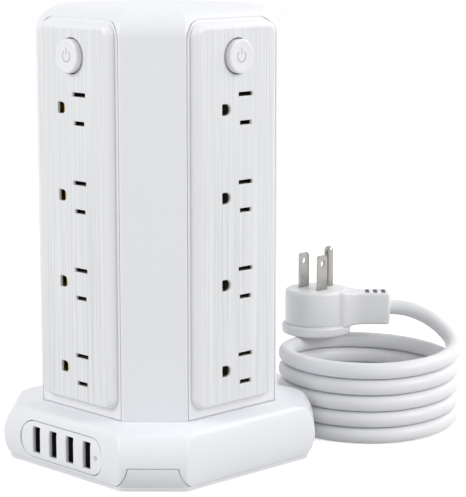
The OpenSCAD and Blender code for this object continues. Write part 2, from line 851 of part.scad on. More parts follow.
// Corners that carry a tab: the rear left one has the cord instead
tab_corners = [0, 1, 3];
cord_corner = 2;

module at_pillars() {
    for (x = [-pillar_x, pillar_x]) for (y = [-pillar_y, pillar_y]) translate([x, y, 0]) children();
}

module frame_outline(grow) {
    r = frame_h / 2 + grow;
    half = frame_w / 2 - frame_h / 2;
    translate([-half, frame_z - r]) square([2 * half, 2 * r]);
    for (s = [-1, 1]) translate([s * half, frame_z]) circle(r = r);
}

module base_shell() color("white") {
    difference() {
        union() {
            difference() {
                base_form(0, base_low);
                base_form(base_t, cover_lift);
            }
            intersection() {
                base_form(base_t / 2, cover_lift);
                at_pillars() translate([0, 0, cover_top]) cylinder(d = pillar_d, h = base_h);
            }
        }
        tower_octagon(spigot_inset - spigot_clear, base_h - spigot_h - over, base_h + over);
        pushed(tower_half, base_half + over) frame_outline(frame_gap);
        for (k = tab_corners) on_corner(k)
            pushed(base_corner - corner_tuck - 2 * base_t, base_corner + over) tab_outline(tab_gap);
        on_corner(cord_corner) translate([0, 0, gland_z])
            rod(gland_d + 2 * gland_clear, tower_corner, base_corner + over);
        at_pillars() translate([0, 0, cover_top - over])
            cylinder(d = screw_d + 2 * screw_clear, h = screw_len + over);
    }
}

// A tab: a curved strip behind the base's face, cut to its outline and to the sides beside it
module corner_tab() {
    side = side_n(base_half, side_tuck, 0, rim_mid);
    intersection() {
        side_strip(base_corner, corner_tuck, tab_foot_w, tab_inset, tab_inset + tab_t);
        pushed(tower_corner, base_corner) tab_outline(0);
        rotate([0, 0, 45]) translate([-side, -side, 0]) cube([2 * side, 2 * side, base_h]);
    }
}

module board_posts() {
    for (s = [-1, 1]) translate([s * (port_board_w / 2 - boss_d / 2), 0, 0]) difference() {
        block(-boss_d / 2, boss_d / 2, port_board_n - board_t, port_back_n + board_t, cover_top - over / 2,
              port_board_low + boss_h);
        block(-boss_d, boss_d, port_board_n - board_gap, port_back_n + board_gap, port_board_low,
              port_board_low + boss_h + over);
    }
}

surge_boss_place = surge_board_w / 2 - boss_d;

module bottom_cover() color("whitesmoke") {
    difference() {
        union() {
            octagon(side_n(base_half, side_tuck, 0, rim_mid), side_n(base_corner, corner_tuck, 0, rim_mid),
                    cover_lift, rim_top);
            octagon(side_n(base_half, side_tuck, base_t, base_low) - tab_gap,
                    side_n(base_corner, corner_tuck, base_t, base_low) - tab_gap,
                    cover_lift, cover_top);
            for (k = tab_corners) on_corner(k) corner_tab();
            board_posts();
            for (x = [-surge_boss_place, surge_boss_place]) for (y = [-surge_boss_place, surge_boss_place])
                translate([x, y, cover_top - over / 2]) cylinder(d = boss_d, h = boss_h + over / 2);
        }
        at_pillars() {
            cylinder(d = screw_head_d + 2 * screw_clear, h = screw_seat);
            cylinder(d = screw_d + 2 * screw_clear, h = cover_top + over);
        }
        for (x = [-foot_place, foot_place]) for (y = [-foot_place, foot_place])
            translate([x, y, 0]) cylinder(d = foot_d + 2 * screw_clear, h = foot_top);
    }
}

// Feet and screws, numbered round the base
function quarter_x(i) = i == 0 || i == 3 ? 1 : -1;
function quarter_y(i) = i < 2 ? -1 : 1;

module foot(i) color("dimgray") {
    translate([quarter_x(i) * foot_place, quarter_y(i) * foot_place, 0])
        cylinder(d = foot_d, h = foot_top);
}

module cover_screw(i) color("silver") {
    translate([quarter_x(i) * pillar_x, quarter_y(i) * pillar_y, screw_seat]) {
        translate([0, 0, -screw_head_t]) cylinder(d = screw_head_d, h = screw_head_t);
        cylinder(d = screw_d, h = screw_len - screw_seat + cover_top - over);
    }
}

// Port places along the frame, counted from the left
function port_u(i) = (i - (port_count - 1) / 2) * port_pitch;

module port_frame() color("white") {
    lip_inset = base_t + frame_gap / 2;
    difference() {
        union() {
            intersection() {
                side_strip(base_half, side_tuck, frame_w, 0, lip_inset + frame_lip_t);
                pushed(tower_half, base_half) frame_outline(0);
            }
            intersection() {
                side_strip(base_half, side_tuck, 2 * frame_w, lip_inset, lip_inset + frame_lip_t);
                pushed(tower_half, base_half) frame_outline(frame_lip);
            }
        }
        for (i = [0:port_count - 1])
            block(port_u(i) - port_w / 2, port_u(i) + port_w / 2, tower_half, base_half + over,
                  frame_z - port_h / 2, frame_z + port_h / 2);
        translate([pipe_u, 0, frame_z]) rod(pipe_d + 2 * screw_clear, tower_half, base_half + over);
    }
}

module port_shell(i) color("silver") {
    outer_u = port_w / 2 + port_t;
    outer_z = port_h / 2 + port_t;
    translate([port_u(i), 0, 0]) difference() {
        block(-outer_u, outer_u, port_back_n, port_mouth_n, frame_z - outer_z, frame_z + outer_z);
        block(-port_w / 2, port_w / 2, port_back_n + port_t, port_mouth_n + over,
              frame_z - port_h / 2, frame_z + port_h / 2);
    }
}

module port_tongues() color("black") {
    for (i = [0:port_count - 1]) translate([port_u(i) - tongue_offset, 0, 0])
        block(-tongue_t / 2, tongue_t / 2, port_back_n + port_t, port_mouth_n - tongue_back,
              frame_z - tongue_h / 2, frame_z + tongue_h / 2);
}

module light_pipe() color("lightgray") {
    translate([pipe_u, 0, frame_z]) rod(pipe_d, port_back_n, base_half - frame_gap);
}

module port_board() color("seagreen") {
    block(-port_board_w / 2, port_board_w / 2, port_board_n, port_back_n, port_board_low,
          port_board_low + port_board_h);
}

module surge_board() color("seagreen") {
    translate([-surge_board_w / 2, -surge_board_w / 2, surge_board_z])
        cube([surge_board_w, surge_board_w, board_t]);
}

// Each disc stands on edge on the board, flat where it meets it
module surge_discs() color("royalblue") intersection() {
    for (s = [-1, 0, 1])
        translate([s * disc_pitch, 0, surge_board_z + board_t + disc_d / 2 - disc_flat])
            rotate([0, 90, 0]) cylinder(d = disc_d, h = disc_t, center = true);
    translate([-surge_board_w / 2, -surge_board_w / 2, surge_board_z + board_t])
        cube([surge_board_w, surge_board_w, disc_d]);
}

// The strain relief: a flange inside the corner, a ribbed taper outside, and the cord's inner end
gland_end = norm(gland_tip);
relief_n = base_corner - base_t - gland_lip_t;
clamp_n = relief_n - clamp_gap;
ribs_start = base_corner + gland_lip_t;
rib_step = (gland_end - ribs_start) / gland_ribs;
function gland_r(n) =
    (gland_d + (gland_tip_d - gland_d) * (n - ribs_start) / (gland_end - ribs_start)) / 2;

module strain_relief() color("white") on_corner(cord_corner) {
    translate([0, 0, gland_z]) rotate([90, 0, 0]) {
        difference() {
            rotate_extrude() polygon([
                [0, relief_n], [gland_d / 2, relief_n],
                [gland_d / 2, ribs_start], [gland_tip_d / 2, gland_end], [0, gland_end]
            ]);
            for (i = [0:gland_ribs - 1]) {
                n = ribs_start + (i + 1 / 4) * rib_step;
                translate([0, 0, n]) difference() {
                    cylinder(d = 2 * gland_d, h = rib_step / 2);
                    translate([0, 0, -over])
                        cylinder(r = gland_r(n) - gland_groove, h = rib_step + 2 * over);
                }
            }
        }
        translate([0, 0, relief_n - cord_inside]) cylinder(d = cord_d, h = cord_inside + gland_lip_t);
    }
    intersection() {
        translate([0, 0, gland_z]) rod(gland_d + 2 * gland_lip, tower_corner, base_corner);
        side_strip(base_corner, corner_tuck, gland_d + 2 * gland_lip + over, base_t + gland_clear / 2,
                   base_t + gland_lip_t);
    }
}

module cord_clamp() color("gainsboro") on_corner(cord_corner) {
    back_n = clamp_n - clamp_len;
    difference() {
        block(-clamp_w / 2, clamp_w / 2, back_n, clamp_n, cover_top, gland_z + cord_r + clamp_wall);
        translate([0, 0, gland_z]) rod(cord_d + 2 * clamp_clear, back_n - over, clamp_n + over);
    }
}

module cord_lead() color("white") {
    tube(lead_path, unit([-1, 1, 0]), lead_way, cord_r, tube_sides);
}

module cord_coil() color("white") {
    tube(coil_path, lead_way, tail_way, cord_r, coil_sides);
}

module cord_tail() color("white") {
    tube(tail_path, tail_way, plug_axis, cord_r, tube_sides);
}

// The plug's own frame: head at the origin, back on the ground, neck towards -Y, pins up
module plug_placed() {
    translate(plug_middle) rotate([0, 0, plug_turn - 90]) children();
}

// Pin places: the blades stand either side of a point off the middle, the pin opposite
blade_middle = blade_shift * [-sin(45), sin(45)];
live_place = blade_middle + slot_spread / 2 * [sin(45), sin(45)];
neutral_place = blade_middle - slot_spread / 2 * [sin(45), sin(45)];
pin_place = blade_middle + ground_offset * [sin(45), -sin(45)];

module plug_body() color("white") plug_placed() {
    rim_r = plug_rim_d / 2;
    r = plug_d / 2;
    neck_back = plug_t - neck_step - neck_t;
    difference() {
        union() {
            rotate_extrude() {
                polygon([
                    [0, 0], [rim_r - plug_round, 0], [rim_r, plug_round],
                    [rim_r, plug_rim_t - plug_round / 2], [rim_r - plug_round / 2, plug_rim_t],
                    [r - plug_groove, plug_rim_t], [r - plug_groove, plug_rim_t + plug_groove_w],
                    [r, plug_rim_t + plug_groove_w], [r, plug_t - plug_round],
                    [r - plug_round, plug_t], [0, plug_t]
                ]);
                for (p = [[rim_r, plug_round], [r, plug_t - plug_round]])
                    translate([p[0] - plug_round, p[1]]) circle(r = plug_round);
            }
            translate([-neck_w / 2, -plug_reach, neck_back]) cube([neck_w, plug_reach, neck_t]);
        }
        for (i = [0:grip_count - 1])
            translate([-grip_w / 2, grip_start + i * grip_pitch - grip_h / 2 - plug_reach,
                       plug_t - neck_step - grip_depth])
                cube([grip_w, grip_h, grip_depth + over]);
        for (p = [live_place, neutral_place]) translate([p[0], p[1], plug_t - pin_root]) blade_root();
        translate([pin_place[0], pin_place[1], plug_t - pin_root])
            cylinder(d = pin_root_d, h = pin_root + over);
    }
}

module blade_root() {
    rotate([0, 0, -45]) translate([-blade_w / 2, -blade_t / 2, 0])
        cube([blade_w, blade_t, pin_root + over]);
}

// A blade: its wide side lies across the line between the two blades
module plug_blade(place) color("silver") plug_placed() {
    tip = pin_root + blade_len;
    bevel = blade_t / 2;
    translate([place[0], place[1], plug_t - pin_root]) rotate([0, 0, -45]) difference() {
        rotate([90, 0, 0]) linear_extrude(height = blade_t, center = true) polygon([
            [-blade_w / 2, 0], [blade_w / 2, 0], [blade_w / 2, tip - 2 * bevel],
            [blade_w / 2 - bevel, tip], [bevel - blade_w / 2, tip], [-blade_w / 2, tip - 2 * bevel]
        ]);
        translate([0, 0, tip - blade_hole_tip]) rotate([90, 0, 0])
            cylinder(d = blade_hole_d, h = 2 * blade_w, center = true);
    }
}

module plug_ground_pin() color("silver") plug_placed() {
    r = pin_d / 2;
    straight = pin_root + pin_len - r;
    shoulder = pin_root + pin_root_rise;
    translate([pin_place[0], pin_place[1], plug_t - pin_root]) rotate_extrude() {
        square([pin_root_d / 2, straight]);
        translate([0, shoulder]) square([r, straight - shoulder]);
        intersection() {
            translate([0, straight]) circle(r = r);
            square([r, straight + r]);
        }
    }
}

tower_shell();
face_panel(0);  // panel_front
face_panel(1);  // panel_right
face_panel(2);  // panel_back
face_panel(3);  // panel_left
carrier(0);  // carrier_front
carrier(1);  // carrier_right
carrier(2);  // carrier_back
carrier(3);  // carrier_left
neutral_bar(0);  // neutral_bar_front
neutral_bar(1);  // neutral_bar_right
neutral_bar(2);  // neutral_bar_back
neutral_bar(3);  // neutral_bar_left
live_bar(0);  // live_bar_front
live_bar(1);  // live_bar_right
live_bar(2);  // live_bar_back
live_bar(3);  // live_bar_left
ground_bar(0);  // ground_bar_front
ground_bar(1);  // ground_bar_right
ground_bar(2);  // ground_bar_back
ground_bar(3);  // ground_bar_left
switch_body(0);  // switch_front
switch_body(1);  // switch_right
switch_body(2);  // switch_back
switch_body(3);  // switch_left
button(0);  // button_front
button(1);  // button_right
button(2);  // button_back
button(3);  // button_left
base_shell();
bottom_cover();
foot(0);  // foot_1
foot(1);  // foot_2
foot(2);  // foot_3
foot(3);  // foot_4
cover_screw(0);  // cover_screw_1
cover_screw(1);  // cover_screw_2
cover_screw(2);  // cover_screw_3
cover_screw(3);  // cover_screw_4
port_frame();
port_shell(0);  // port_shell_1
port_shell(1);  // port_shell_2
port_shell(2);  // port_shell_3
port_shell(3);  // port_shell_4
port_tongues();
light_pipe();
port_board();
surge_board();
surge_discs();
strain_relief();
cord_clamp();
cord_lead();
cord_coil();
cord_tail();
plug_body();
plug_blade(live_place);  // plug_live_blade
plug_blade(neutral_place);  // plug_neutral_blade
plug_ground_pin();
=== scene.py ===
import math

import bmesh
import bpy
import numpy as np
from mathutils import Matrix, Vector
from mathutils.geometry import delaunay_2d_cdt


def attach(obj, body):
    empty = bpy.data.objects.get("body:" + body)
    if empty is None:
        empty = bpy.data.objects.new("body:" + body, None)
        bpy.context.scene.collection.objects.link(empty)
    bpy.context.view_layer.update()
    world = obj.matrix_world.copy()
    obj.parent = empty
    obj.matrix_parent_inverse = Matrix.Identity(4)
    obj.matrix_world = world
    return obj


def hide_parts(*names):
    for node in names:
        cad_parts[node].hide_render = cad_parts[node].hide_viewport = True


# Tower power strip: moulded shells, brushed face panels, pressed buttons, charging ports and
# a coiled mains lead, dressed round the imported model. Sizes in the dictionaries are millimetres.

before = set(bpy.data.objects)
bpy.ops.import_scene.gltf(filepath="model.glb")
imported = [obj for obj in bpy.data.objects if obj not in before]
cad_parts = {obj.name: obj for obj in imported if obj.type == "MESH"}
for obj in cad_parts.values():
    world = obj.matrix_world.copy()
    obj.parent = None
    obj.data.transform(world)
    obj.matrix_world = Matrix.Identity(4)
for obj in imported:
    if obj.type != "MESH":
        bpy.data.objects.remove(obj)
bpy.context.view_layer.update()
scene = bpy.context.scene
mm = 0.001
rootTwo = math.sqrt(2)
eighth = math.pi / 4  # the turn of a rounded edge between a flat and a corner
sideNames = ("front", "right", "back", "left")
print("frame loaded:", len(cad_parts), "nodes")

# The camera stands in front of the tower's near corner, above its middle, and looks a little down
camera = {"place": (666.7, -604.3, 253.6), "yaw": 45.632, "tilt": 9.891, "lens": 151.36,
          "sensor": 36, "near": 50}

cameraData = bpy.data.cameras.new("camera")
cameraData.sensor_width = camera["sensor"]
cameraData.sensor_fit = "HORIZONTAL"
cameraData.lens = camera["lens"]
cameraData.clip_start = camera["near"] * mm
cameraObject = bpy.data.objects.new("camera", cameraData)
cameraObject.location = [c * mm for c in camera["place"]]
cameraObject.rotation_euler = (math.radians(90 - camera["tilt"]), 0, math.radians(camera["yaw"]))
scene.collection.objects.link(cameraObject)
scene.camera = cameraObject

# how close two corners are welded and how short an edge is dropped, in metres; how close a sheet's
# points may lie, in millimetres; and the half turn in radians below which a corner is straight
least = {"corner": 2e-6, "sliver": 1e-7, "point": 1e-6, "turn": 1e-3}


# rows of points to one mesh: parts are (points in mm, faces); equal corners are welded,
# normals turned outwards, and an edge sharper than the angle stays crisp
def makePiece(name, parts, material, body="tower", sharpAngle=34):
    points, faces, count = [], [], 0
    for partPoints, partFaces in parts:
        partPoints = np.asarray(partPoints, float).reshape(-1, 3)
        points.append(partPoints)
        faces += (np.asarray(partFaces) + count).tolist()
        count += len(partPoints)
    mesh = bpy.data.meshes.new(name)
    mesh.from_pydata((np.concatenate(points) * mm).tolist(), [], faces)
    shape = bmesh.new()
    shape.from_mesh(mesh)
    bmesh.ops.remove_doubles(shape, verts=shape.verts, dist=least["corner"])
    bmesh.ops.dissolve_degenerate(shape, edges=shape.edges, dist=least["sliver"])
    bmesh.ops.recalc_face_normals(shape, faces=shape.faces)
    shape.to_mesh(mesh)
    shape.free()
    mesh.shade_smooth()
    mesh.set_sharp_from_angle(angle=math.radians(sharpAngle))
    mesh.materials.append(material)
    piece = bpy.data.objects.new(name, mesh)
    scene.collection.objects.link(piece)
    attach(piece, body)
    return piece


# even values from one number to another, one more than the steps
def even(start, end, steps):
    return np.linspace(start, end, steps + 1)


# numbers and arrays side by side, as points
def pointsOf(*values):
    return np.stack(np.broadcast_arrays(*values), -1)


# a skin over loops of equal length: quad (i, j) joins loop i to loop i + 1
def skin(loops, closed=True):
    loops = np.asarray(loops, float)
    rows, count = loops.shape[:2]
    i = np.arange(rows - 1)[:, None]
    j = np.arange(count if closed else count - 1)[None, :]
    k = (j + 1) % count
    quads = np.stack([i * count + j, i * count + k, (i + 1) * count + k, (i + 1) * count + j], -1)
    return loops.reshape(-1, 3), quads.reshape(-1, 4)


# one flat face over a loop
def cap(loop):
    loop = np.asarray(loop, float)
    return loop, [list(range(len(loop)))]


# a skin over loops with both its ends capped
def cappedSkin(loops):
    return [skin(loops), cap(loops[0]), cap(loops[-1])]


# even-odd rule: a point is inside where a line from it crosses the outline an odd number of times
def insideOutline(points, outline):
    x, y = points[:, :1], points[:, 1:]
    ax, ay = outline[:, 0], outline[:, 1]
    bx, by = np.roll(ax, -1), np.roll(ay, -1)
    with np.errstate(divide="ignore", invalid="ignore"):
        crossing = ((ay > y) != (by > y)) & (x < (bx - ax) * (y - ay) / (by - ay) + ax)
    return crossing.sum(1) % 2 == 1


# a sheet between an outer outline and its holes: the triangles whose middle lies in it,
# lifted from the plane into space
def sheet(outer, holes, lift, extra=()):
    loops = [np.asarray(loop, float) for loop in [outer, *holes]]
    starts = np.cumsum([0] + [len(loop) for loop in loops])
    edges = np.concatenate([
        start + np.stack([np.arange(len(loop)), (np.arange(len(loop)) + 1) % len(loop)], 1)
        for start, loop in zip(starts, loops)
    ])
    points = np.concatenate([*loops, *([extra] if len(extra) else [])])
    made = delaunay_2d_cdt(points.tolist(), edges.tolist(), [], 0, least["point"])
    flat, triangles = np.array([tuple(p) for p in made[0]]), np.array(made[2])
    middle = flat[triangles].mean(1)
    kept = insideOutline(middle, loops[0])
    for hole in loops[1:]:
        kept &= ~insideOutline(middle, hole)
    return lift(flat), triangles[kept]


# the grid points inside an outline, outside its holes and clear of some loops, which let a sheet
# bend over a curve
def gridInside(columns, rows, outer, holes, loops, clear):
    grid = np.stack([m.ravel() for m in np.meshgrid(columns, rows)], 1)
    kept = insideOutline(grid, outer)
    for hole in holes:
        kept &= ~insideOutline(grid, hole)
    for loop in loops:
        kept &= np.linalg.norm(grid[:, None] - loop[None], axis=2).min(1) > clear
    return grid[kept]


# the same with an even step, clear of the outline and the holes
def evenGrid(outer, holes, step, clear):
    low, high = outer.min(0) + step / 2, outer.max(0)
    columns, rows = (np.arange(a, b, step) for a, b in zip(low, high))
    return gridInside(columns, rows, outer, holes, [outer, *holes], clear)


# side-local (u to the right, n outwards, z up) to space; a corner is half a side further on
def onSide(u, n, z, side):
    turn = side * math.pi / 2
    return pointsOf(u * math.cos(turn) + n * math.sin(turn), u * math.sin(turn) - n * math.cos(turn), z)


# an upright outline of (u, z) points on a side, at a distance out
def upright(loop, n, side=0):
    return onSide(loop[:, 0], n, loop[:, 1], side)


# an arc: centre + radius (cos, sin), from one angle to another
def arc(centre, radius, start, end, steps):
    angle = np.radians(even(start, end, steps))
    return pointsOf(centre[0] + radius * np.cos(angle), centre[1] + radius * np.sin(angle))


# a closed rectangle, grown by an amount, with four round corners from the lower right one
# anticlockwise; its steps are those of an arc and those of a side
def roundBox(low, high, radius, grow, steps):
    low, high = np.array(low, float) - grow, np.array(high, float) + grow
    r = np.maximum(np.broadcast_to(np.asarray(radius, float), 4) + grow, 0.0)
    middles = [(high[0] - r[0], low[1] + r[0]), (high[0] - r[1], high[1] - r[1]),
               (low[0] + r[2], high[1] - r[2]), (low[0] + r[3], low[1] + r[3])]
    arcs = [arc(middle, r[i], i * 90 - 90, i * 90, steps[0]) for i, middle in enumerate(middles)]
    share = even(0, 1, steps[1])[1:-1, None]
    pieces = []
    for here, after in zip(arcs, arcs[1:] + arcs[:1]):
        pieces += [here, here[-1] + (after[0] - here[-1]) * share]
    return np.concatenate(pieces)


# outlines as functions of their growth: a round-cornered box about its middle, and a circle
def boxHole(middle, half, radius, steps):
    low, high = np.subtract(middle, half), np.add(middle, half)
    return lambda grow: roundBox(low, high, radius, grow, steps)


def roundHole(middle, radius, steps):
    return lambda grow: arc(middle, radius + grow, 0, 360, steps)[:-1]


# a quarter-round lip: steps inwards from the face, then down; each row is (outline growth, depth)
def lipRows(radius, steps=4):
    angle = even(0, math.pi / 2, steps)
    return pointsOf(radius * (1 - np.sin(angle)), radius * (1 - np.cos(angle)))


# a lip's loops in space, put there by place(outline, depth): a hole's with way 1, an outer edge's
# with way -1, and where hold is given one more loop that far out on the face
def lipLoops(outlineOf, place, radius, steps=4, hold=0, way=1):
    loops = [place(outlineOf(way * (radius + hold)), 0.0)] if hold else []
    return loops + [place(outlineOf(way * grow), depth) for grow, depth in lipRows(radius, steps)]


# (x, y) points at one height
def level(loop, z):
    return pointsOf(loop[:, 0], loop[:, 1], z)


# the upright right half of an outline, then points across its top, then the half mirrored
def mirrored(right, across):
    return np.concatenate([right, pointsOf(across, right[-1, 1]), right[::-1] * [-1, 1]])


# the unit direction along a way at each of its points
def headings(way):
    ahead = np.gradient(way, axis=0)
    return ahead / np.linalg.norm(ahead, axis=1, keepdims=True)


# a smooth way through points: between each two a cubic whose ends head along their neighbours,
# with the same number of steps on each
def smoothWay(points, steps):
    points = np.asarray(points, float)
    ends = np.concatenate([2 * points[:1] - points[1:2], points, 2 * points[-1:] - points[-2:-1]])
    p0, p1, p2, p3 = (ends[i:len(ends) - 3 + i, None] for i in range(4))
    t = (np.arange(steps) / steps)[None, :, None]
    way = 0.5 * (2 * p1 + (p2 - p0) * t + (2 * p0 - 5 * p1 + 4 * p2 - p3) * t ** 2
                 + (3 * p1 - p0 - 3 * p2 + p3) * t ** 3)
    return np.concatenate([way.reshape(-1, way.shape[-1]), points[-1:]])


# rings round a way: the way's point plus radius times (cos, sin) on its side and upper directions
def tubeRings(way, radius, sides):
    ahead = headings(way)
    side = np.cross(ahead, [0, 0, 1])
    side /= np.linalg.norm(side, axis=1, keepdims=True)
    upper = np.cross(side, ahead)
    angle = np.linspace(0, 2 * math.pi, sides, endpoint=False)[None, :, None]
    return way[:, None] + radius * (np.cos(angle) * side[:, None] + np.sin(angle) * upper[:, None])


# a profile's corners (x, y, radius) with each corner rounded by an arc of its radius
def rounded(corners, steps):
    corners = np.asarray(corners, float)
    points = [corners[:1, :2]]
    for before, here, after in zip(corners, corners[1:], corners[2:]):
        into = (here - before)[:2] / np.linalg.norm((here - before)[:2])
        onward = (after - here)[:2] / np.linalg.norm((after - here)[:2])
        half = math.acos(np.clip(into @ onward, -1, 1)) / 2
        if half < least["turn"] or here[2] == 0:
            points.append(here[None, :2])
            continue
        start = here[:2] - into * here[2] * math.tan(half)
        middle = start + here[2] * (onward - into * (into @ onward)) / math.sin(2 * half)
        share = even(0, 1, steps)[:, None] * 2 * half
        points.append(middle + (start - middle) * np.cos(share) + here[2] * into * np.sin(share))
    points.append(corners[-1:, :2])
    return np.concatenate(points)


# a profile of (radius, height) turned once round: loops of (x, y, height)
def turned(profile, steps):
    angle = np.linspace(0, 2 * math.pi, steps, endpoint=False)[None]
    radius, height = np.transpose(profile)[..., None]
    return pointsOf(radius * np.cos(angle), radius * np.sin(angle), height)


# the same with the profile's height pointing out of a side, about an axis at a height z
def turnedOnSide(profile, steps, z, side):
    loops = turned(profile, steps)
    return skin(onSide(loops[..., 0], loops[..., 2], z + loops[..., 1], side))


# sockets, nodes and plain values put into a node's inputs by number or name
def feed(tree, node, inputs):
    for name, value in inputs.items():
        socket = node.inputs[name]
        if isinstance(value, bpy.types.Node):
            value = value.outputs[0]
        if isinstance(value, bpy.types.NodeSocket):
            tree.links.new(value, socket)
        else:
            socket.default_value = value


# one node: terms feed its inputs in order, a setting with an input's name feeds that input, and
# any other setting sets the node
def addNode(tree, kind, *terms, **settings):
    node = tree.nodes.new("ShaderNode" + kind)
    inputs = dict(enumerate(terms))
    for name, value in settings.items():
        if name.replace("_", " ") in node.inputs:
            inputs[name.replace("_", " ")] = value
        else:
            setattr(node, name, value)
    feed(tree, node, inputs)
    return node


# a Math node of an operation
def calc(tree, operation, *terms):
    return addNode(tree, "Math", *terms, operation=operation)


# an empty node group; an input of four numbers is a colour, of three a vector
def startGroup(name, inputs, outputs):
    tree = bpy.data.node_groups.new(name, "ShaderNodeTree")
    kinds = {4: "Color", 3: "Vector"}
    for label, value in inputs.items():
        kind = kinds[len(value)] if isinstance(value, tuple) else "Float"
        socket = tree.interface.new_socket(label, in_out="INPUT", socket_type="NodeSocket" + kind)
        socket.default_value = value
    for label in outputs:
        kind = "Color" if label == "Colour" else "Float"
        tree.interface.new_socket(label, in_out="OUTPUT", socket_type="NodeSocket" + kind)
    return tree, tree.nodes.new("NodeGroupInput").outputs, tree.nodes.new("NodeGroupOutput")


# the depths of the finishes' relief in metres, and how far scratches and lines dull a surface
finishes = {"grain": 0.000006, "polished": 0.000002, "scratch": 0.000004, "line": 0.000005,
            "scratchDull": 0.16, "lineDull": 0.14}


# moulded plastic: a fine spark-eroded grain, and a slow drift of tone over the surface
def mouldedSkin():
    inputs = {"Colour": (0.8, 0.8, 0.8, 1), "Drift": 0.03, "Grain": 1500.0, "Gloss": 0.35,
              "Gloss Drift": 0.06}
    tree, given, made = startGroup("mouldedSkin", inputs, ("Colour", "Roughness", "Height"))
    place = addNode(tree, "TexCoord").outputs["Object"]
    fine = addNode(tree, "TexNoise", Vector=place, Scale=given["Grain"], Detail=3.0, Roughness=0.55)
    slow = addNode(tree, "TexNoise", Vector=place, Scale=26.0, Detail=4.0)
    dim = addNode(tree, "MixRGB", given["Drift"], given["Colour"], (0.2, 0.2, 0.22, 1),
                  blend_type="MULTIPLY")
    tone = addNode(tree, "MixRGB", slow, given["Colour"], dim)
    offMean = calc(tree, "SUBTRACT", slow, 0.5)
    gloss = calc(tree, "MULTIPLY_ADD", offMean, given["Gloss Drift"], given["Gloss"])
    feed(tree, made, {"Colour": tone, "Roughness": gloss, "Height": fine})
    return tree


# upright brushed lines on the raised pads: noise squeezed along the face and stretched upwards,
# kept to the pads' front by how far the point stands out from the tower's axis, in metres
def brushedLines():
    inputs = {"Colour": (0.8, 0.8, 0.8, 1), "Line Colour": (0.6, 0.6, 0.6, 1), "Fineness": 3200.0,
              "Length": 14.0, "Front": 0.052}
    tree, given, made = startGroup("brushedLines", inputs, ("Colour", "Lines"))
    x, y, z = addNode(tree, "SeparateXYZ", addNode(tree, "TexCoord").outputs["Object"]).outputs
    along = calc(tree, "MULTIPLY", calc(tree, "ADD", x, y), given["Fineness"])
    vector = addNode(tree, "CombineXYZ", X=along, Z=calc(tree, "MULTIPLY", z, given["Length"]))
    hair = addNode(tree, "TexNoise", Vector=vector, Scale=1.0, Detail=2.0, Roughness=0.7)
    band = addNode(tree, "TexNoise", Vector=vector, Scale=0.45, Detail=1.0)
    contrast = addNode(tree, "MapRange", calc(tree, "ADD", hair, band), From_Min=0.8, From_Max=1.24,
                       interpolation_type="SMOOTHSTEP")
    out = calc(tree, "MAXIMUM", calc(tree, "ABSOLUTE", x), calc(tree, "ABSOLUTE", y))
    behind = calc(tree, "SUBTRACT", out, given["Front"])
    mask = addNode(tree, "MapRange", behind, From_Min=-0.00015, From_Max=-0.00003,  # metres
                   interpolation_type="SMOOTHSTEP")
    shown = calc(tree, "MULTIPLY", contrast, mask)
    feed(tree, made, {"Colour": addNode(tree, "MixRGB", shown, given["Colour"], given["Line Colour"]),
                      "Lines": shown})
    return tree


# rolled or plated metal: fine scratches stretched one way, and a cloudy polish
def workedMetal():
    inputs = {"Colour": (0.6, 0.6, 0.6, 1), "Stretch": (900.0, 900.0, 60.0), "Polish": 0.3}
    tree, given, made = startGroup("workedMetal", inputs, ("Colour", "Roughness", "Height"))
    place = addNode(tree, "TexCoord").outputs["Object"]
    drawn = addNode(tree, "VectorMath", place, given["Stretch"], operation="MULTIPLY")
    scratch = addNode(tree, "TexNoise", Vector=drawn, Scale=1.0, Detail=3.0)
    cloud = addNode(tree, "TexNoise", Vector=place, Scale=160.0, Detail=3.0)
    dull = addNode(tree, "MixRGB", cloud, given["Colour"], (0.72, 0.7, 0.68, 1), blend_type="MULTIPLY")
    rough = calc(tree, "MULTIPLY_ADD", scratch, finishes["scratchDull"], given["Polish"])
    feed(tree, made, {"Colour": dull, "Roughness": rough, "Height": scratch})
    return tree


skinGroup, lineGroup, metalGroup = mouldedSkin(), brushedLines(), workedMetal()


# a group placed in a material with its own values
def placeGroup(tree, group, inputs):
    node = tree.nodes.new("ShaderNodeGroup")
    node.node_tree = group
    feed(tree, node, inputs)
    return node.outputs


# a material and its Principled shader
def startMaterial(name, colour):
    material = bpy.data.materials.new(name)
    material.use_nodes = True
    material.diffuse_color = (*colour, 1)
    return material, material.node_tree, material.node_tree.nodes["Principled BSDF"]


# a material of one group: the group's height makes a bump of a depth in metres
def finish(name, group, colour, depth, metallic=0.0, **inputs):
    material, tree, shader = startMaterial(name, colour)
    made = placeGroup(tree, group, {"Colour": (*colour, 1), **inputs})
    bump = addNode(tree, "Bump", Height=made["Height"], Distance=depth)
    feed(tree, shader, {"Base Color": made["Colour"], "Roughness": made["Roughness"], "Metallic": metallic,
                        "Normal": bump})
    return material


# the two kinds of finish, with the values of their groups
def plastic(name, colour, depth=finishes["grain"], **inputs):
    return finish(name, skinGroup, colour, depth, **inputs)


def metal(name, colour, **inputs):
    return finish(name, metalGroup, colour, finishes["scratch"], metallic=1.0, **inputs)


# the face panels: moulded white, with the brushed lines cut into the pads' fronts
def brushedPanel(name, colour, lineColour):
    material, tree, shader = startMaterial(name, colour)
    base = placeGroup(tree, skinGroup, {"Colour": (*colour, 1), "Gloss": 0.36, "Drift": 0.02})
    lines = placeGroup(tree, lineGroup, {"Colour": base["Colour"], "Line Colour": (*lineColour, 1)})
    rough = calc(tree, "MULTIPLY_ADD", lines["Lines"], finishes["lineDull"], base["Roughness"])
    cutIn = calc(tree, "MULTIPLY", lines["Lines"], -1.0)
    bump = addNode(tree, "Bump", Height=cutIn, Distance=finishes["line"])
    feed(tree, shader, {"Base Color": lines["Colour"], "Roughness": rough, "Normal": bump})
    return material


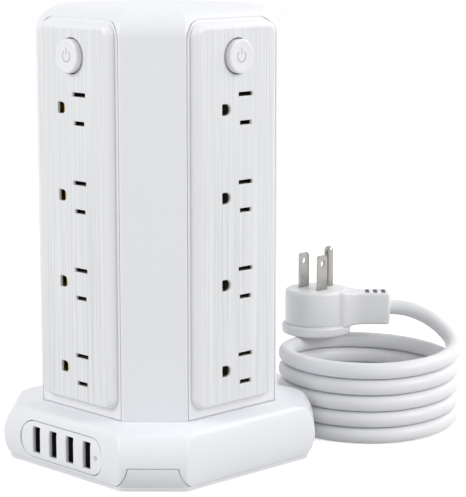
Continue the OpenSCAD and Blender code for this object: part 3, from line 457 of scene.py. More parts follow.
softWhite = (0.84, 0.845, 0.86)
materials = {
    "shell": plastic("shellWhite", (0.835, 0.845, 0.88), Gloss=0.34),
    "panel": brushedPanel("panelBrushed", (0.83, 0.835, 0.85), (0.69, 0.7, 0.72)),
    "cover": plastic("coverWhite", (0.83, 0.84, 0.87), Gloss=0.4),
    "frame": plastic("frameWhite", (0.85, 0.86, 0.885), Gloss=0.18, depth=finishes["polished"]),
    "button": plastic("buttonWhite", softWhite, Gloss=0.22, depth=finishes["polished"]),
    "mark": plastic("markGrey", (0.36, 0.37, 0.4), Gloss=0.5),
    "carrier": plastic("carrierPlastic", (0.045, 0.045, 0.05), Gloss=0.45),
    "brass": metal("contactBrass", (0.8, 0.64, 0.22), Polish=0.3),
    "switch": plastic("switchBlack", (0.03, 0.03, 0.033), Gloss=0.42),
    "foot": plastic("footRubber", (0.12, 0.12, 0.125), Gloss=0.75, Grain=2600.0, depth=0.00002),
    "screw": metal("screwSteel", (0.6, 0.6, 0.62), Polish=0.28, Stretch=(500.0, 500.0, 500.0)),
    # steel made darker than bare steel: painted shade inside the ports
    "portShell": metal("portSteelPaintedShade", (0.3, 0.3, 0.31), Polish=0.32),
    "tongue": plastic("tongueBlack", (0.022, 0.022, 0.025), Gloss=0.3),
    "pipe": plastic("pipeMilky", (0.62, 0.64, 0.68), Gloss=0.2),
    # painted shade lining the ports' insides
    "well": plastic("wellPaintedShade", (0.012, 0.012, 0.014), Gloss=0.5),
    # brass darkened to paint the shade deep inside the slots
    "brassPaintedShade": metal("contactPaintedShade", (0.2, 0.15, 0.08), Polish=0.5),
    "board": plastic("boardGreen", (0.02, 0.14, 0.06), Gloss=0.3, Drift=0.2),
    "disc": plastic("discBlue", (0.03, 0.09, 0.32), Gloss=0.25),
    "relief": plastic("reliefWhite", (0.78, 0.785, 0.8), Gloss=0.45),
    "cord": plastic("cordWhite", softWhite, Gloss=0.38, Grain=900.0, depth=0.00001),
    "plug": plastic("plugWhite", softWhite, Gloss=0.3),
    # painted shade for the grips' hollows, which are white plastic in shade
    "grip": plastic("gripShade", (0.13, 0.135, 0.15), Gloss=0.6),
    "nickel": metal("pinNickel", (0.42, 0.41, 0.4), Polish=0.14, Stretch=(300.0, 300.0, 300.0)),
}
print("materials made:", len(materials))

# The lead: from the relief along the floor, up the coil's turns and off its top to the plug.
# On a turn it runs level for the first part and climbs one pitch over the rest
cord = {
    "diameter": 7.8, "length": 1.371, "sides": 20,
    "lead": [(-69.4, 69.4, 14), (-77, 77, 13.5), (-83.5, 86.5, 12), (-86, 98, 9.5), (-83.5, 109.5, 7),
             (-77, 119.5, 5), (-67.5, 126, 4), (-56, 128, 3.9), (-44.5, 126, 3.9), (-34.5, 119.5, 3.9),
             (-23, 108, 3.9), (-11.5, 96.5, 3.9)],
    "middle": (34, 109), "radius": 41, "pitch": 7.9, "start": -135, "turned": 1605, "level": 100,
    "ease": 9, "easeSteps": 7, "spots": 108, "joint": 7.4, "steps": 6, "sharp": 60,
    "tail": [(61, 142, 38.2), (55, 147, 40.3), (47.5, 150, 43.2), (40, 151, 46.3), (32, 150, 49),
             (25, 147, 50.9), (18.5, 142, 51.5885), (16, 139.5, 51.59)],
}


# the coil at a turn in degrees: a circle of the radius; the height is the mean of the climb a
# little before and after, which eases its bends
def coilWay(turn):
    height = np.zeros_like(turn)
    for offset in np.linspace(-cord["ease"], cord["ease"], cord["easeSteps"]):
        a = np.clip(turn + offset, 0, cord["turned"])
        climbed = np.clip((a % 360 - cord["level"]) / (360 - cord["level"]), 0, 1)
        height += cord["pitch"] * (np.floor(a / 360) + climbed) / cord["easeSteps"]
    angle = np.radians(cord["start"] + turn)
    return pointsOf(cord["middle"][0] + cord["radius"] * np.cos(angle),
                    cord["middle"][1] + cord["radius"] * np.sin(angle), cord["diameter"] / 2 + height)


spots = coilWay(np.linspace(0, cord["turned"], cord["spots"]))
entry, leaving = (np.radians(cord["start"] + turn + 90) for turn in (0, cord["turned"]))
coilIn = spots[0] - cord["joint"] * np.array([math.cos(entry), math.sin(entry), 0])
coilOut = spots[-1] + cord["joint"] * np.array([math.cos(leaving), math.sin(leaving), 0])
cordWay = smoothWay(np.concatenate([cord["lead"], [coilIn], spots, [coilOut], cord["tail"]]), cord["steps"])
cordParts = cappedSkin(tubeRings(cordWay, cord["diameter"] / 2, cord["sides"]))
cordPiece = makePiece("mainsLead", cordParts, materials["cord"], sharpAngle=cord["sharp"])
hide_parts("cord_lead", "cord_coil", "cord_tail")

# the relief: a flange inside the corner, then a taper with soft rings, turned about the diagonal
relief = {
    "side": 2.5, "z": 14, "inner": 67.1, "flange": 9.0, "flangeOut": 69.9, "flangeRound": 0.3,
    "radius": 6.5, "gap": 0.2, "seatRound": 0.2, "necking": 0.1, "ribs": 75.6, "count": 5, "groove": 0.9,
    "grooveRound": 0.3, "ribRound": 0.45, "tip": 98.995, "tipRadius": 4.8, "tipRound": 0.7,
    "steps": 4, "around": 48,
}


# the taper's radius falls in a line from the ribs' start to the tip, and each groove is a step
# down over the middle half of its pitch
def reliefProfile():
    step = (relief["tip"] - relief["ribs"]) / relief["count"]
    radius = lambda n: np.interp(n, (relief["ribs"], relief["tip"]), (relief["radius"], relief["tipRadius"]))
    corners = [(0, relief["inner"], 0), (relief["flange"], relief["inner"], relief["flangeRound"]),
               (relief["flange"], relief["flangeOut"], relief["seatRound"]),
               (relief["radius"], relief["flangeOut"], relief["necking"])]
    for i in range(relief["count"]):
        for n, order in ((relief["ribs"] + (i + 0.25) * step, 1), (relief["ribs"] + (i + 0.75) * step, -1)):
            corners += [(radius(n), n, relief["ribRound"]),
                        (radius(n) - relief["groove"], n, relief["grooveRound"])][::order]
    corners += [(relief["tipRadius"], relief["tip"], relief["tipRound"]), (0, relief["tip"], 0)]
    return rounded(corners, relief["steps"])


reliefParts = [turnedOnSide(reliefProfile(), relief["around"], relief["z"], relief["side"])]
reliefPiece = makePiece("strainRelief", reliefParts, materials["relief"])
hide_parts("strain_relief")

# the plug: a round head with a rim and a groove, and a neck that swells into it, front upwards
plug = {
    "middle": (-8.017, 115.483, 38.388), "turn": 135,
    "head": [(0, 0, 0), (17.7, 0, 1.6), (17.7, 5, 0.9), (15.2, 5, 0.15), (15.2, 6, 0.15), (16, 6, 0.3),
             (16, 23, 1.9), (0, 23, 0)],
    "neckHalf": (6.7, 8.2), "neckMiddle": 13.2, "neckFrom": -9.0, "neckTo": -37.5, "neckRound": 1.3,
    "flareFrom": -24.0, "flareTo": -14, "flare": (4.6, 1.1), "tipRound": 1.8, "rows": (14, 6, 6),
    "gripFirst": -34.1, "gripPitch": 4.1, "gripCount": 3, "gripHalf": (5.0, 1.05), "gripRound": 1.04,
    # gripShadeRows: (growth, depth) loops of the dark pads that paint the grips' shade
    "gripDepth": 1.5, "gripLip": 0.25, "gripShadeRows": [(-0.05, 1.4), (-0.05, 0.35), (-0.25, 0.5), (-0.5, 0.6)],
    "around": 72, "headSteps": 6, "neckSteps": (6, 5), "gripSteps": (8, 6), "lipSteps": 3,
}
neckTop = plug["neckMiddle"] + plug["neckHalf"][1]


# plug-local points to space: turned about the upright, then moved to the plug's place
def placePlug(points):
    x, y, z = np.moveaxis(np.asarray(points, float), -1, 0)
    turn = math.radians(plug["turn"])
    return pointsOf(x * math.cos(turn) - y * math.sin(turn), x * math.sin(turn) + y * math.cos(turn),
                    z) + plug["middle"]


# a loop of the neck's front, put at a depth below it
def belowFront(loop, depth=0.0):
    return placePlug(level(loop, neckTop - depth))


# the grips' round-ended outlines
gripLoops = [boxHole((0, plug["gripFirst"] + i * plug["gripPitch"]), plug["gripHalf"], plug["gripRound"],
                     plug["gripSteps"]) for i in range(plug["gripCount"])]


# the neck: rounded rectangles along y, wider by a square-law flare near the head, closed by a
# quarter-round tip; the grips' strip of its front is left out of the skin and made as a sheet
def plugNeck():
    flareRows, gripRows, tipRows = plug["rows"]
    straight = plug["neckTo"] + plug["tipRound"]
    turn = even(0, math.pi / 2, tipRows)[1:]
    along = np.concatenate([even(plug["neckFrom"], plug["flareFrom"], flareRows),
                            even(plug["flareFrom"], straight, gripRows)[1:],
                            straight - plug["tipRound"] * np.sin(turn)])
    share = np.clip((along - plug["flareFrom"]) / (plug["flareTo"] - plug["flareFrom"]), 0, 1) ** 2
    drawn = np.concatenate([np.zeros(flareRows + gripRows + 1), plug["tipRound"] * (1 - np.cos(turn))])
    loops = []
    for y, s, inset in zip(along, share, drawn):
        half = np.array(plug["neckHalf"]) + s * np.array(plug["flare"])
        loop = roundBox(-half, half, plug["neckRound"], -inset, plug["neckSteps"])
        loops.append(pointsOf(loop[:, 0], y, plug["neckMiddle"] + loop[:, 1]))
    loops = np.array(loops)
    first, last = flareRows, flareRows + gripRows
    columns = np.flatnonzero(np.isclose(loops[first:last + 1, :, 2], neckTop).all(0))
    points, quads = skin(placePlug(loops))
    row, column = quads[:, 0] // loops.shape[1], quads[:, 0] % loops.shape[1]
    cut = (row >= first) & (row < last) & (column >= columns[0]) & (column < columns[-1])
    strip = loops[first:last + 1, columns, :2]
    outer = np.concatenate([strip[0], strip[1:, -1], strip[-1, ::-1][1:], strip[::-1, 0][1:-1]])
    parts = [(points, quads[~cut]), cap(placePlug(loops[0])), cap(placePlug(loops[-1])),
             sheet(outer, [gripLoop(plug["gripLip"]) for gripLoop in gripLoops], belowFront)]
    for gripLoop in gripLoops:
        rows = lipLoops(gripLoop, belowFront, plug["gripLip"], plug["lipSteps"])
        floor = belowFront(gripLoop(0.0), plug["gripDepth"])
        parts += [skin([*rows, floor]), cap(floor)]
    return parts


headProfile = rounded(plug["head"], plug["headSteps"])
plugParts = [skin(placePlug(turned(headProfile, plug["around"]))), *plugNeck()]
plugPiece = makePiece("plugHead", plugParts, materials["plug"])
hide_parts("plug_body")

# painted shade in the grips: a dark dished pad low in each hollow stands in for the shade there; loops of
# (growth, depth) make it
gripPaintedShadeParts = [part for gripLoop in gripLoops for part in cappedSkin(
    [belowFront(gripLoop(grow), depth) for grow, depth in plug["gripShadeRows"]])]
gripPaintedShadePiece = makePiece("plugGripsPaintedShade", gripPaintedShadeParts, materials["grip"])

# the plug's CAD pins, which keep their shape; the lead's length above is in metres
cadPlugNodes = ["plug_live_blade", "plug_neutral_blade", "plug_ground_pin"]
print("lead, relief and plug made")

# The tower: an octagon whose flat and corner half widths shrink over the round shoulders,
# flat(z) = centre + sqrt((r - inset)^2 - rise^2), with a small round along its eight edges
tower = {
    "foot": 28.0, "footRound": 0.3, "top": 210.0, "wall": 4.0, "edge": 1.3, "innerEdge": 0.3,
    "flatCentre": 37.5, "flatRound": 11.0, "cornerCentre": 42.447, "cornerRound": 12.0,
    "openHalf": 27.5, "openArc": 9.3, "arcHeight": 196.4, "lip": 0.25, "seat": 46.0, "seatWidth": 7.0,
    "footRows": 4, "sideRows": 13, "shoulderRows": 26, "topSteps": 12, "columns": 6,
    "edgeSteps": 5, "facetSteps": 6,
}
bendZ = tower["top"] - tower["flatRound"]
quarterTurn = np.array([[0, 1, 0], [-1, 0, 0], [0, 0, 1]], float)  # from one side to the next


# half widths of the flats and corners at a height, with the foot's small round taken off
def towerHalves(z, inset=0.0):
    foot = tower["footRound"]
    under = np.clip(tower["foot"] + foot - z, 0, foot) * (inset == 0)
    drawn = foot - np.sqrt(foot ** 2 - under ** 2)
    halves = []
    for centre, radius in (("flatCentre", "flatRound"), ("cornerCentre", "cornerRound")):
        r = tower[radius] - inset
        rise = np.clip(z - (tower["top"] - tower[radius]), 0, r)
        halves.append(tower[centre] + np.sqrt(r ** 2 - rise ** 2) - drawn)
    return halves


# height from the length along the tower's side view: straight, then round the shoulder
def towerHeight(length, inset):
    angle = np.clip((length - bendZ) / tower["flatRound"], 0, math.pi / 2)
    return np.where(length > bendZ, bendZ + (tower["flatRound"] - inset) * np.sin(angle), length)


# half widths of a rounded octagon's flat and corner facet, between the edge rounds
def octagonEdges(flat, corner, edge):
    return rootTwo * (corner - edge) - (flat - edge), rootTwo * (flat - edge) - (corner - edge)


# rows of a corner facet with the edge round on both its sides, joined to the flats beside it
def cornerLoops(flat, corner, edge, z, side):
    half = octagonEdges(flat, corner, edge)[1][:, None]
    angle = even(0, eighth, tower["edgeSteps"])[None]
    share = even(-1, 1, tower["facetSteps"])[None, 1:-1]
    across = np.concatenate([-half - edge * np.sin(angle[:, ::-1]), half * share,
                             half + edge * np.sin(angle)], 1)
    drop = edge * (1 - np.cos(angle))
    out = corner[:, None] - np.concatenate([drop[:, ::-1], share * 0, drop], 1)
    return onSide(across, out, z[:, None], side + 0.5)


# the opening's arch from its right foot over the top to its left foot, grown by an amount
def towerArch(sideZ, grow):
    half, radius = tower["openHalf"], tower["openArc"]
    right = pointsOf(half + grow, sideZ)
    bow = arc((half - radius, tower["arcHeight"]), radius + grow, 0, 90, tower["shoulderRows"])[1:]
    return mirrored(np.concatenate([right, bow]), even(1, -1, tower["topSteps"])[1:-1] * (half - radius))


# the outer and the inner skin: on each flat a grid from the opening's arch to the flat's edge,
# inner + (bound - inner) * share, with lengths bent over the shoulder, and a corner facet beside it
def towerParts():
    foot = tower["foot"] + tower["footRound"] * (1 - np.cos(even(0, math.pi / 2, tower["footRows"])))
    sideZ = np.concatenate([foot, even(foot[-1], tower["arcHeight"], tower["sideRows"])[1:]])
    reach = bendZ + tower["flatRound"] * math.pi / 2
    lengths = np.concatenate([sideZ, even(tower["arcHeight"], reach, tower["shoulderRows"])[1:]])
    across = even(1, -1, tower["topSteps"])[1:-1]
    share = even(0, 1, tower["columns"])[:, None, None]
    skins = {}
    for inset, edge in ((0.0, tower["edge"]), (tower["wall"], tower["innerEdge"])):
        rowZ = towerHeight(lengths, inset)
        flat, corner = towerHalves(rowZ, inset)
        half = octagonEdges(flat, corner, edge)[0]
        bound = mirrored(pointsOf(half, lengths), across * half[-1])
        arch = towerArch(sideZ, tower["lip"] if inset == 0 else -tower["seatWidth"])
        rise = arch[:, 1] - bendZ
        angle = np.arcsin(np.clip(rise / (tower["flatRound"] - inset), 0, 1))
        inner = pointsOf(arch[:, 0], np.where(rise > 0, bendZ + tower["flatRound"] * angle, arch[:, 1]))
        skins[inset] = (rowZ, flat, corner, edge, inner + (bound - inner) * share)
    parts = []
    for side in range(4):
        place = lambda loop, n: upright(loop, n, side)
        ends = []
        for inset, (rowZ, flat, corner, edge, grid) in skins.items():
            z = towerHeight(grid[..., 1], inset)
            face = onSide(grid[..., 0], towerHalves(z, inset)[0], z, side)
            facet = cornerLoops(flat, corner, edge, rowZ, side)
            parts += [skin(face, closed=False), skin(facet, closed=False)]
            ends.append((face[:, 0], facet[0], face[::-1, -1] @ quarterTurn))
        arch, window = towerArch(sideZ, 0), towerArch(sideZ, -tower["seatWidth"])
        rows = lipLoops(lambda grow: towerArch(sideZ, grow),
                        lambda loop, depth: place(loop, towerHalves(loop[:, 1])[0] - depth), tower["lip"])
        rows += [place(arch, tower["seat"]), place(window, tower["seat"]),
                 place(window, towerHalves(window[:, 1], tower["wall"])[0])]
        rows = np.stack(rows)
        parts.append(skin(rows, closed=False))
        outside, inside = ends
        leg = [rows[::-1, 0], *outside, (rows @ quarterTurn)[:, -1], *[e[::-1] for e in inside[::-1]]]
        parts.append(cap(np.concatenate(leg)))
    for inset, (rowZ, flat, corner, edge, grid) in skins.items():
        bound = grid[-1, len(rowZ) - 1:len(rowZ) + len(across) + 1]
        top = [loop[:-1] for side in range(4) for loop in (
            onSide(bound[::-1, 0], flat[-1], np.full(len(bound), rowZ[-1]), side),
            cornerLoops(flat, corner, edge, rowZ, side)[-1])]
        parts.append(cap(np.concatenate(top)))
    return parts


towerPiece = makePiece("towerShell", towerParts(), materials["shell"])
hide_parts("tower_shell")
print("tower made")

# The panels: each fills its opening, follows the tower's face, and carries a raised pad with
# rounded edges, the outlets' slots and the button's hole. Made once and turned to the four sides
panel = {
    "half": 27.1, "low": 28.3, "high": 205.3, "arc": 9.0, "footArc": 0.3, "lip": 0.25, "back": 46.0,
    "padHalf": 25.5, "padLow": 31.0, "padHigh": 204.0, "padArc": 6.0, "padFront": 52.0, "padRound": 3.0,
    "padFootRound": 1.2, "padTurn": 68, "padBack": 49.6,
    "pocketHalf": 22.5, "pocketLow": 34.0, "pocketHigh": 199.0, "pocketArc": 3.0,
    "outlets": (165.8, 126.55, 87.3, 48.05), "slotAt": 5.0, "slotRise": 6.35,
    "neutral": (4.25, 0.95), "live": (3.45, 0.95), "slotRound": 0.15, "slotLip": 0.4,
    "groundAt": -6.9, "ground": (2.5, 2.55), "groundRound": (2.5, 2.5, 0.4, 0.4), "groundLip": 0.45,
    "buttonAt": 189.1, "buttonHole": 8.1, "buttonLip": 0.3, "hold": 0.35, "plate": 1.3, "recess": 1.3,
    "steps": (10, 6), "ringSteps": 4, "padSteps": 8, "lipSteps": 5, "slotSteps": (4, 3),
    "groundSteps": (8, 2), "buttonSteps": 72,
}


# every hole as a function from growth to its outline, with its lip's radius
def panelHoles():
    holes = []
    for z in panel["outlets"]:
        for key, rise in (("neutral", panel["slotRise"]), ("live", -panel["slotRise"])):
            slot = boxHole((panel["slotAt"], z + rise), panel[key], panel["slotRound"], panel["slotSteps"])
            holes.append((slot, panel["slotLip"]))
        ground = boxHole((panel["groundAt"], z), panel["ground"], panel["groundRound"], panel["groundSteps"])
        holes.append((ground, panel["groundLip"]))
    buttonHole = roundHole((0.0, panel["buttonAt"]), panel["buttonHole"], panel["buttonSteps"])
    return holes + [(buttonHole, panel["buttonLip"])]


# loops from the back over the lip, along the tower's face and up the pad's edge, which turns
# (1 - cos, sin) through less than a quarter, so that the front's edge shows; behind the thin
# plate at the front the holes are wider
def panelParts(side):
    place = lambda loop, n: upright(loop, n, side)
    onFace = lambda loop, depth=0.0: place(loop, towerHalves(loop[:, 1])[0] - depth)
    onFront = lambda loop, depth=0.0: place(loop, panel["padFront"] - depth)
    footShare = 1 - panel["padFootRound"] / panel["padRound"]  # the pad's lower edge is crisper
    arcs = (panel["footArc"], panel["arc"], panel["arc"], panel["footArc"])
    box = lambda half, low, high, radius, grow: roundBox((-half, low), (half, high), radius, grow,
                                                         panel["steps"])
    outline = lambda grow: box(panel["half"], panel["low"], panel["high"], arcs, grow)
    pad = lambda grow: box(panel["padHalf"], panel["padLow"] + (panel["padRound"] + grow) * footShare,
                           panel["padHigh"], panel["padArc"], grow)
    pocket = box(panel["pocketHalf"], panel["pocketLow"], panel["pocketHigh"], panel["pocketArc"], 0)
    rows = [place(outline(0), panel["back"]), *lipLoops(outline, onFace, panel["lip"], way=-1)[::-1]]
    ringFrom, ringTo = outline(-panel["lip"]), pad(0)
    rows += [onFace(ringFrom + (ringTo - ringFrom) * (i + 1) / panel["ringSteps"])
             for i in range(panel["ringSteps"])]
    turn = math.radians(panel["padTurn"])
    for angle in even(0, turn, panel["padSteps"]):
        rows.append(onFront(pad(-panel["padRound"] * (1 - math.cos(angle)) / (1 - math.cos(turn))),
                            panel["padRound"] * (1 - math.sin(angle) / math.sin(turn))))
    hold, recess, holes = panel["hold"], panel["recess"], panelHoles()
    front = pad(-panel["padRound"] - hold)
    parts = [skin(rows + [onFront(front)]),
             sheet(front, [outlineOf(lip + hold) for outlineOf, lip in holes], onFront)]
    for outlineOf, lip in holes:
        rows = lipLoops(outlineOf, onFront, lip, panel["lipSteps"], hold)
        rows += [onFront(outlineOf(grow), panel["plate"]) for grow in (0, recess)]
        parts.append(skin(rows + [place(outlineOf(recess), panel["padBack"])]))
    parts.append(sheet(pocket, [outlineOf(recess) for outlineOf, lip in holes],
                       lambda loop: place(loop, panel["padBack"])))
    parts.append(skin([place(pocket, panel["padBack"]), place(pocket, panel["back"]),
                       place(outline(0), panel["back"])]))
    return parts


for side, sideName in enumerate(sideNames):
    panelPiece = makePiece("facePanel_" + sideName, panelParts(side), materials["panel"])
    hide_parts("panel_" + sideName)
print("panels made")

# The ground contacts' spring tongues, seen through the holes: brass strips that bridge the bar's
# two leaves, with a leg up, a half turn over the top (-cos, sin) and a leg down
tongue = {"bendAt": (-8.9, 47.9), "radius": 0.9, "foot": 46.4, "thick": 0.3, "half": 2.35, "steps": 16}


# a strip's four edges along two such ways, the outer and the inner, at its two heights
def tongueParts(side, outletZ):
    angle = even(0, math.pi, tongue["steps"])
    outer, inner = [], []
    for way, radius in ((outer, tongue["radius"]), (inner, tongue["radius"] - tongue["thick"])):
        bend = tongue["bendAt"] + radius * pointsOf(-np.cos(angle), np.sin(angle))
        way += [(bend[0, 0], tongue["foot"]), *bend, (bend[-1, 0], tongue["foot"])]
    low, high = outletZ - tongue["half"], outletZ + tongue["half"]
    return cappedSkin(np.stack([onSide(*np.transpose(way), z, side) for way, z in (
        (outer, low), (outer, high), (inner, high), (inner, low))], 1))


tongueStrips = [part for side in range(4) for z in panel["outlets"] for part in tongueParts(side, z)]
makePiece("groundTongues", tongueStrips, materials["brass"])

# The buttons: a slightly dished cap that narrows behind the face, so that the gap round it reads
# as a dark line, with a flange behind the panel and a stem, and the power sign printed on the cap:
# an arc open at the top with a short bar in the gap
button = {
    "profile": [(0, 40.9, 0), (3, 40.9, 0.3), (3, 48.1, 0.2), (9, 48.1, 0.3), (9, 49.3, 0.3),
                (6.8, 49.3, 0.15), (6.8, 51.0, 0.2), (7.6, 51.3, 0.2), (7.6, 54.7, 0.8), (5.9, 54.7, 2.0),
                (4.5, 54.52, 3.0), (0, 54.5, 0)],
    "face": 54.5, "signRadius": 2.5, "signHalf": 0.21, "signOpen": 40, "bar": (0.9, 3.5),
    "print": 0.03, "sunk": 0.1, "steps": 6, "around": 64, "signSteps": 48, "barSteps": 5,
}


# a flat printed line along a way in (u, z): its edges stand off the way by its half width
def printedLine(way, side):
    ahead = headings(way)
    across = pointsOf(-ahead[:, 1], ahead[:, 0]) * button["signHalf"]
    high, low = button["face"] + button["print"], button["face"] - button["sunk"]
    loops = [onSide(way[:, 0] + s * across[:, 0], n, panel["buttonAt"] + way[:, 1] + s * across[:, 1], side)
             for s, n in ((1, low), (1, high), (-1, high), (-1, low))]
    return cappedSkin(np.stack(loops, 1))


barWay = pointsOf(0.0, even(*button["bar"], button["barSteps"]))
openFrom, openTo = 90 + button["signOpen"], 450 - button["signOpen"]
openWay = arc((0, 0), button["signRadius"], openFrom, openTo, button["signSteps"])
capProfile = rounded(button["profile"], button["steps"])
for side, sideName in enumerate(sideNames):
    cadBody = "button_" + sideName + "_body"
    capParts = [turnedOnSide(capProfile, button["around"], panel["buttonAt"], side)]
    buttonPiece = makePiece("buttonCap_" + sideName, capParts, materials["button"], cadBody)
    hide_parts("button_" + sideName)
    signParts = printedLine(openWay, side) + printedLine(barWay, side)
    makePiece("powerSign_" + sideName, signParts, materials["mark"], cadBody)
print("buttons made")

# The base: an octagon with a bellied side, a round shoulder and a top that slopes to the tower
base = {
    "low": 2.4, "high": 28.0, "split": 22.0, "belly": 12.0, "wall": 2.5, "slope": 14.0, "shoulder": 4.0,
    "flat": {"half": 61.5, "tuck": 2.4, "foot": 48.5, "middle": (55.547, 22.121)},
    "corner": {"half": 72.6, "tuck": 4.5, "foot": 54.447, "middle": (65.245, 21.185)},
    "edge": 3.0, "topEdge": 1.3, "edgeFrom": 20.0, "leastEdge": 0.3, "beyond": 4.0,
    "ledgeIn": 3.05, "ledgeLow": 25.5, "lip": 0.3, "clear": 0.45, "notchClear": 0.5, "sharp": 40,
    "lowRows": 20, "highRows": 30, "innerRows": 13, "flatColumns": 18, "facetColumns": 12, "edgeColumns": 6,
    "beyondColumns": 3,
}


# how far it stands out at a height: half - R + sqrt((R - inset)^2 - (z - belly)^2) on the belly,
# middle + sqrt((r - inset)^2 - (z - middleZ)^2) on the shoulder, then a straight slope
def baseSide(z, kind, inset=0.0):
    shape, slope = base[kind], math.radians(base["slope"])
    bellyR = (base["belly"] ** 2 + shape["tuck"] ** 2) / (2 * shape["tuck"])
    r, (middle, middleZ) = base["shoulder"] - inset, shape["middle"]
    toward = math.hypot(middle - shape["half"] + bellyR, middleZ - base["belly"])
    turnZ = middleZ + r * (middleZ - base["belly"]) / toward
    bellied = shape["half"] - bellyR + np.sqrt((bellyR - inset) ** 2 - (z - base["belly"]) ** 2)
    shouldered = middle + np.sqrt(np.maximum(r ** 2 - (z - middleZ) ** 2, 0))
    sloped = shape["foot"] + (base["high"] - inset / math.cos(slope) - z) / math.tan(slope)
    return np.where(z <= turnZ, bellied, np.where(z <= middleZ + r * math.cos(slope), shouldered, sloped))


# the edge round's radius: it shrinks towards the top by the smooth step 3 s^2 - 2 s^3
def baseEdge(z, inset):
    s = np.clip((z - base["edgeFrom"]) / (base["high"] - base["edgeFrom"]), 0, 1)
    radius = base["edge"] - (base["edge"] - base["topEdge"]) * s * s * (3 - 2 * s)
    return np.maximum(radius - inset, base["leastEdge"])


# a height's facts: how far the flats and the corners stand out, the edge's radius, and the half
# widths of the flat and of the facet
def baseAt(z, inset=0.0):
    flat, corner, edge = baseSide(z, "flat", inset), baseSide(z, "corner", inset), baseEdge(z, inset)
    return flat, corner, edge, *octagonEdges(flat, corner, edge)


# widths at the belly's height, where the patches' flat coordinates are true lengths
beltFlat, beltFacet = octagonEdges(base["flat"]["half"], base["corner"]["half"], base["edge"])
beltFlat -= base["beyond"]
edgeEnd = beltFacet + base["edge"] * eighth


# a flat patch's point: across the flat in proportion to its width at that height
def flatAt(u, z, inset, side):
    flat, _, _, half, _ = baseAt(z, inset)
    return onSide(u / beltFlat * (half - base["beyond"]), flat, z, side)


# a corner patch's point: across the facet in proportion, round the edge, then along the flat
def cornerAt(w, z, inset, side):
    _, corner, edge, _, facet = baseAt(z, inset)
    reach = np.abs(w)
    angle = np.clip((reach - beltFacet) / base["edge"], 0, eighth)
    beyond = np.maximum(reach - edgeEnd, 0) / rootTwo
    across = np.minimum(reach / beltFacet, 1) * facet + edge * np.sin(angle) + beyond
    return onSide(np.sign(w) * across, corner - edge * (1 - np.cos(angle)) - beyond, z, side)


# the way back: patch coordinates of a true width on a flat or across a corner
def flatFrom(loop):
    return pointsOf(loop[:, 0] * beltFlat / (baseAt(loop[:, 1])[3] - base["beyond"]), loop[:, 1])


def cornerFrom(loop):
    facet, reach = baseAt(loop[:, 1])[4], np.abs(loop[:, 0])
    angle = np.arcsin(np.clip((reach - facet) / base["edge"], 0, math.sin(eighth)))
    beyond = np.maximum(reach - facet - base["edge"] * math.sin(eighth), 0) * rootTwo
    across = np.minimum(reach / facet, 1) * beltFacet + base["edge"] * angle + beyond
    return pointsOf(np.sign(loop[:, 0]) * across, loop[:, 1])


# The tabs of the bottom cover that show in three corners' notches: straight top with round
# corners, sides that flare to the foot by a power of the depth below the top
tab = {"corners": (0, 1, 3), "top": 11.4, "low": 0.8, "half": 11.4, "flare": 4.8, "over": 9.0, "power": 1.9,
       "round": 0.7, "gap": 0.22, "inset": 0.35, "thick": 2.5, "lip": 0.3, "hold": 0.3, "step": 0.9,
       "clear": 0.35, "sideSteps": 14, "bowSteps": 6, "topSteps": 8, "footSteps": 23}


# one tab's path from its right foot over the top to its left foot, grown by an amount
def tabPath(grow, low):
    flared = lambda depth: tab["half"] + tab["flare"] * (np.maximum(depth, 0) / tab["over"]) ** tab["power"]
    z = even(low, tab["top"] - tab["round"], tab["sideSteps"])
    right = pointsOf(flared(tab["top"] - z) + grow, z)
    bow = arc((flared(tab["round"]) - tab["round"], z[-1]), tab["round"] + grow, 0, 90, tab["bowSteps"])[1:]
    return mirrored(np.concatenate([right, bow]), even(1, -1, tab["topSteps"])[1:-1] * bow[-1, 0])


# the charging ports' frame, with its mouths and the small lamp's hole
portFrame = {
    "half": 28.5, "high": 8.4, "endFlat": 0.25, "z": 12.8, "gap": 0.35, "lip": 0.3, "hold": 0.25,
    "depth": 5.6, "face": 61.0, "ports": 4, "pitch": 11.8, "mouth": (2.45, 6.1), "mouthRound": 0.4,
    # the well keys: room behind the plate for the dark lining that paints the ports' shade
    "mouthLip": 0.6, "plate": 59.3, "wellEnd": 55.9, "well": 0.2, "wellGap": 0.03,
    "pipeAt": 23.8, "pipeHole": 1.0, "pipeLip": 0.2, "step": 1.2, "clear": 0.4,
    "steps": (14, 10), "mouthSteps": (5, 8), "pipeSteps": 32,
}
# its outline, a rectangle with half-round ends
stadium = boxHole((0, portFrame["z"]), (portFrame["half"], portFrame["high"]),
                  portFrame["high"] - portFrame["endFlat"], portFrame["steps"])

# The base's grid, and the openings in its wall in patch coordinates
lowZ = even(base["low"], base["split"], base["lowRows"])
highZ = even(base["split"], base["high"], base["highRows"])
innerZ = even(base["split"], base["ledgeLow"], base["innerRows"])
flatColumns = even(-1, 1, base["flatColumns"]) * beltFlat
rightHalf = np.concatenate([even(0, beltFacet, base["facetColumns"] // 2),
                            even(beltFacet, edgeEnd, base["edgeColumns"])[1:],
                            even(edgeEnd, edgeEnd + base["beyond"], base["beyondColumns"])[1:]])
cornerColumns = np.concatenate([-rightHalf[:0:-1], rightHalf])
reliefHole = roundHole((0, relief["z"]), relief["radius"] + relief["gap"], relief["around"])
frameOpening = lambda grow: flatFrom(stadium(portFrame["gap"] + grow))
reliefOpening = lambda grow: cornerFrom(reliefHole(grow))
notchOpening = lambda grow: cornerFrom(tabPath(tab["gap"] + grow, base["low"]))


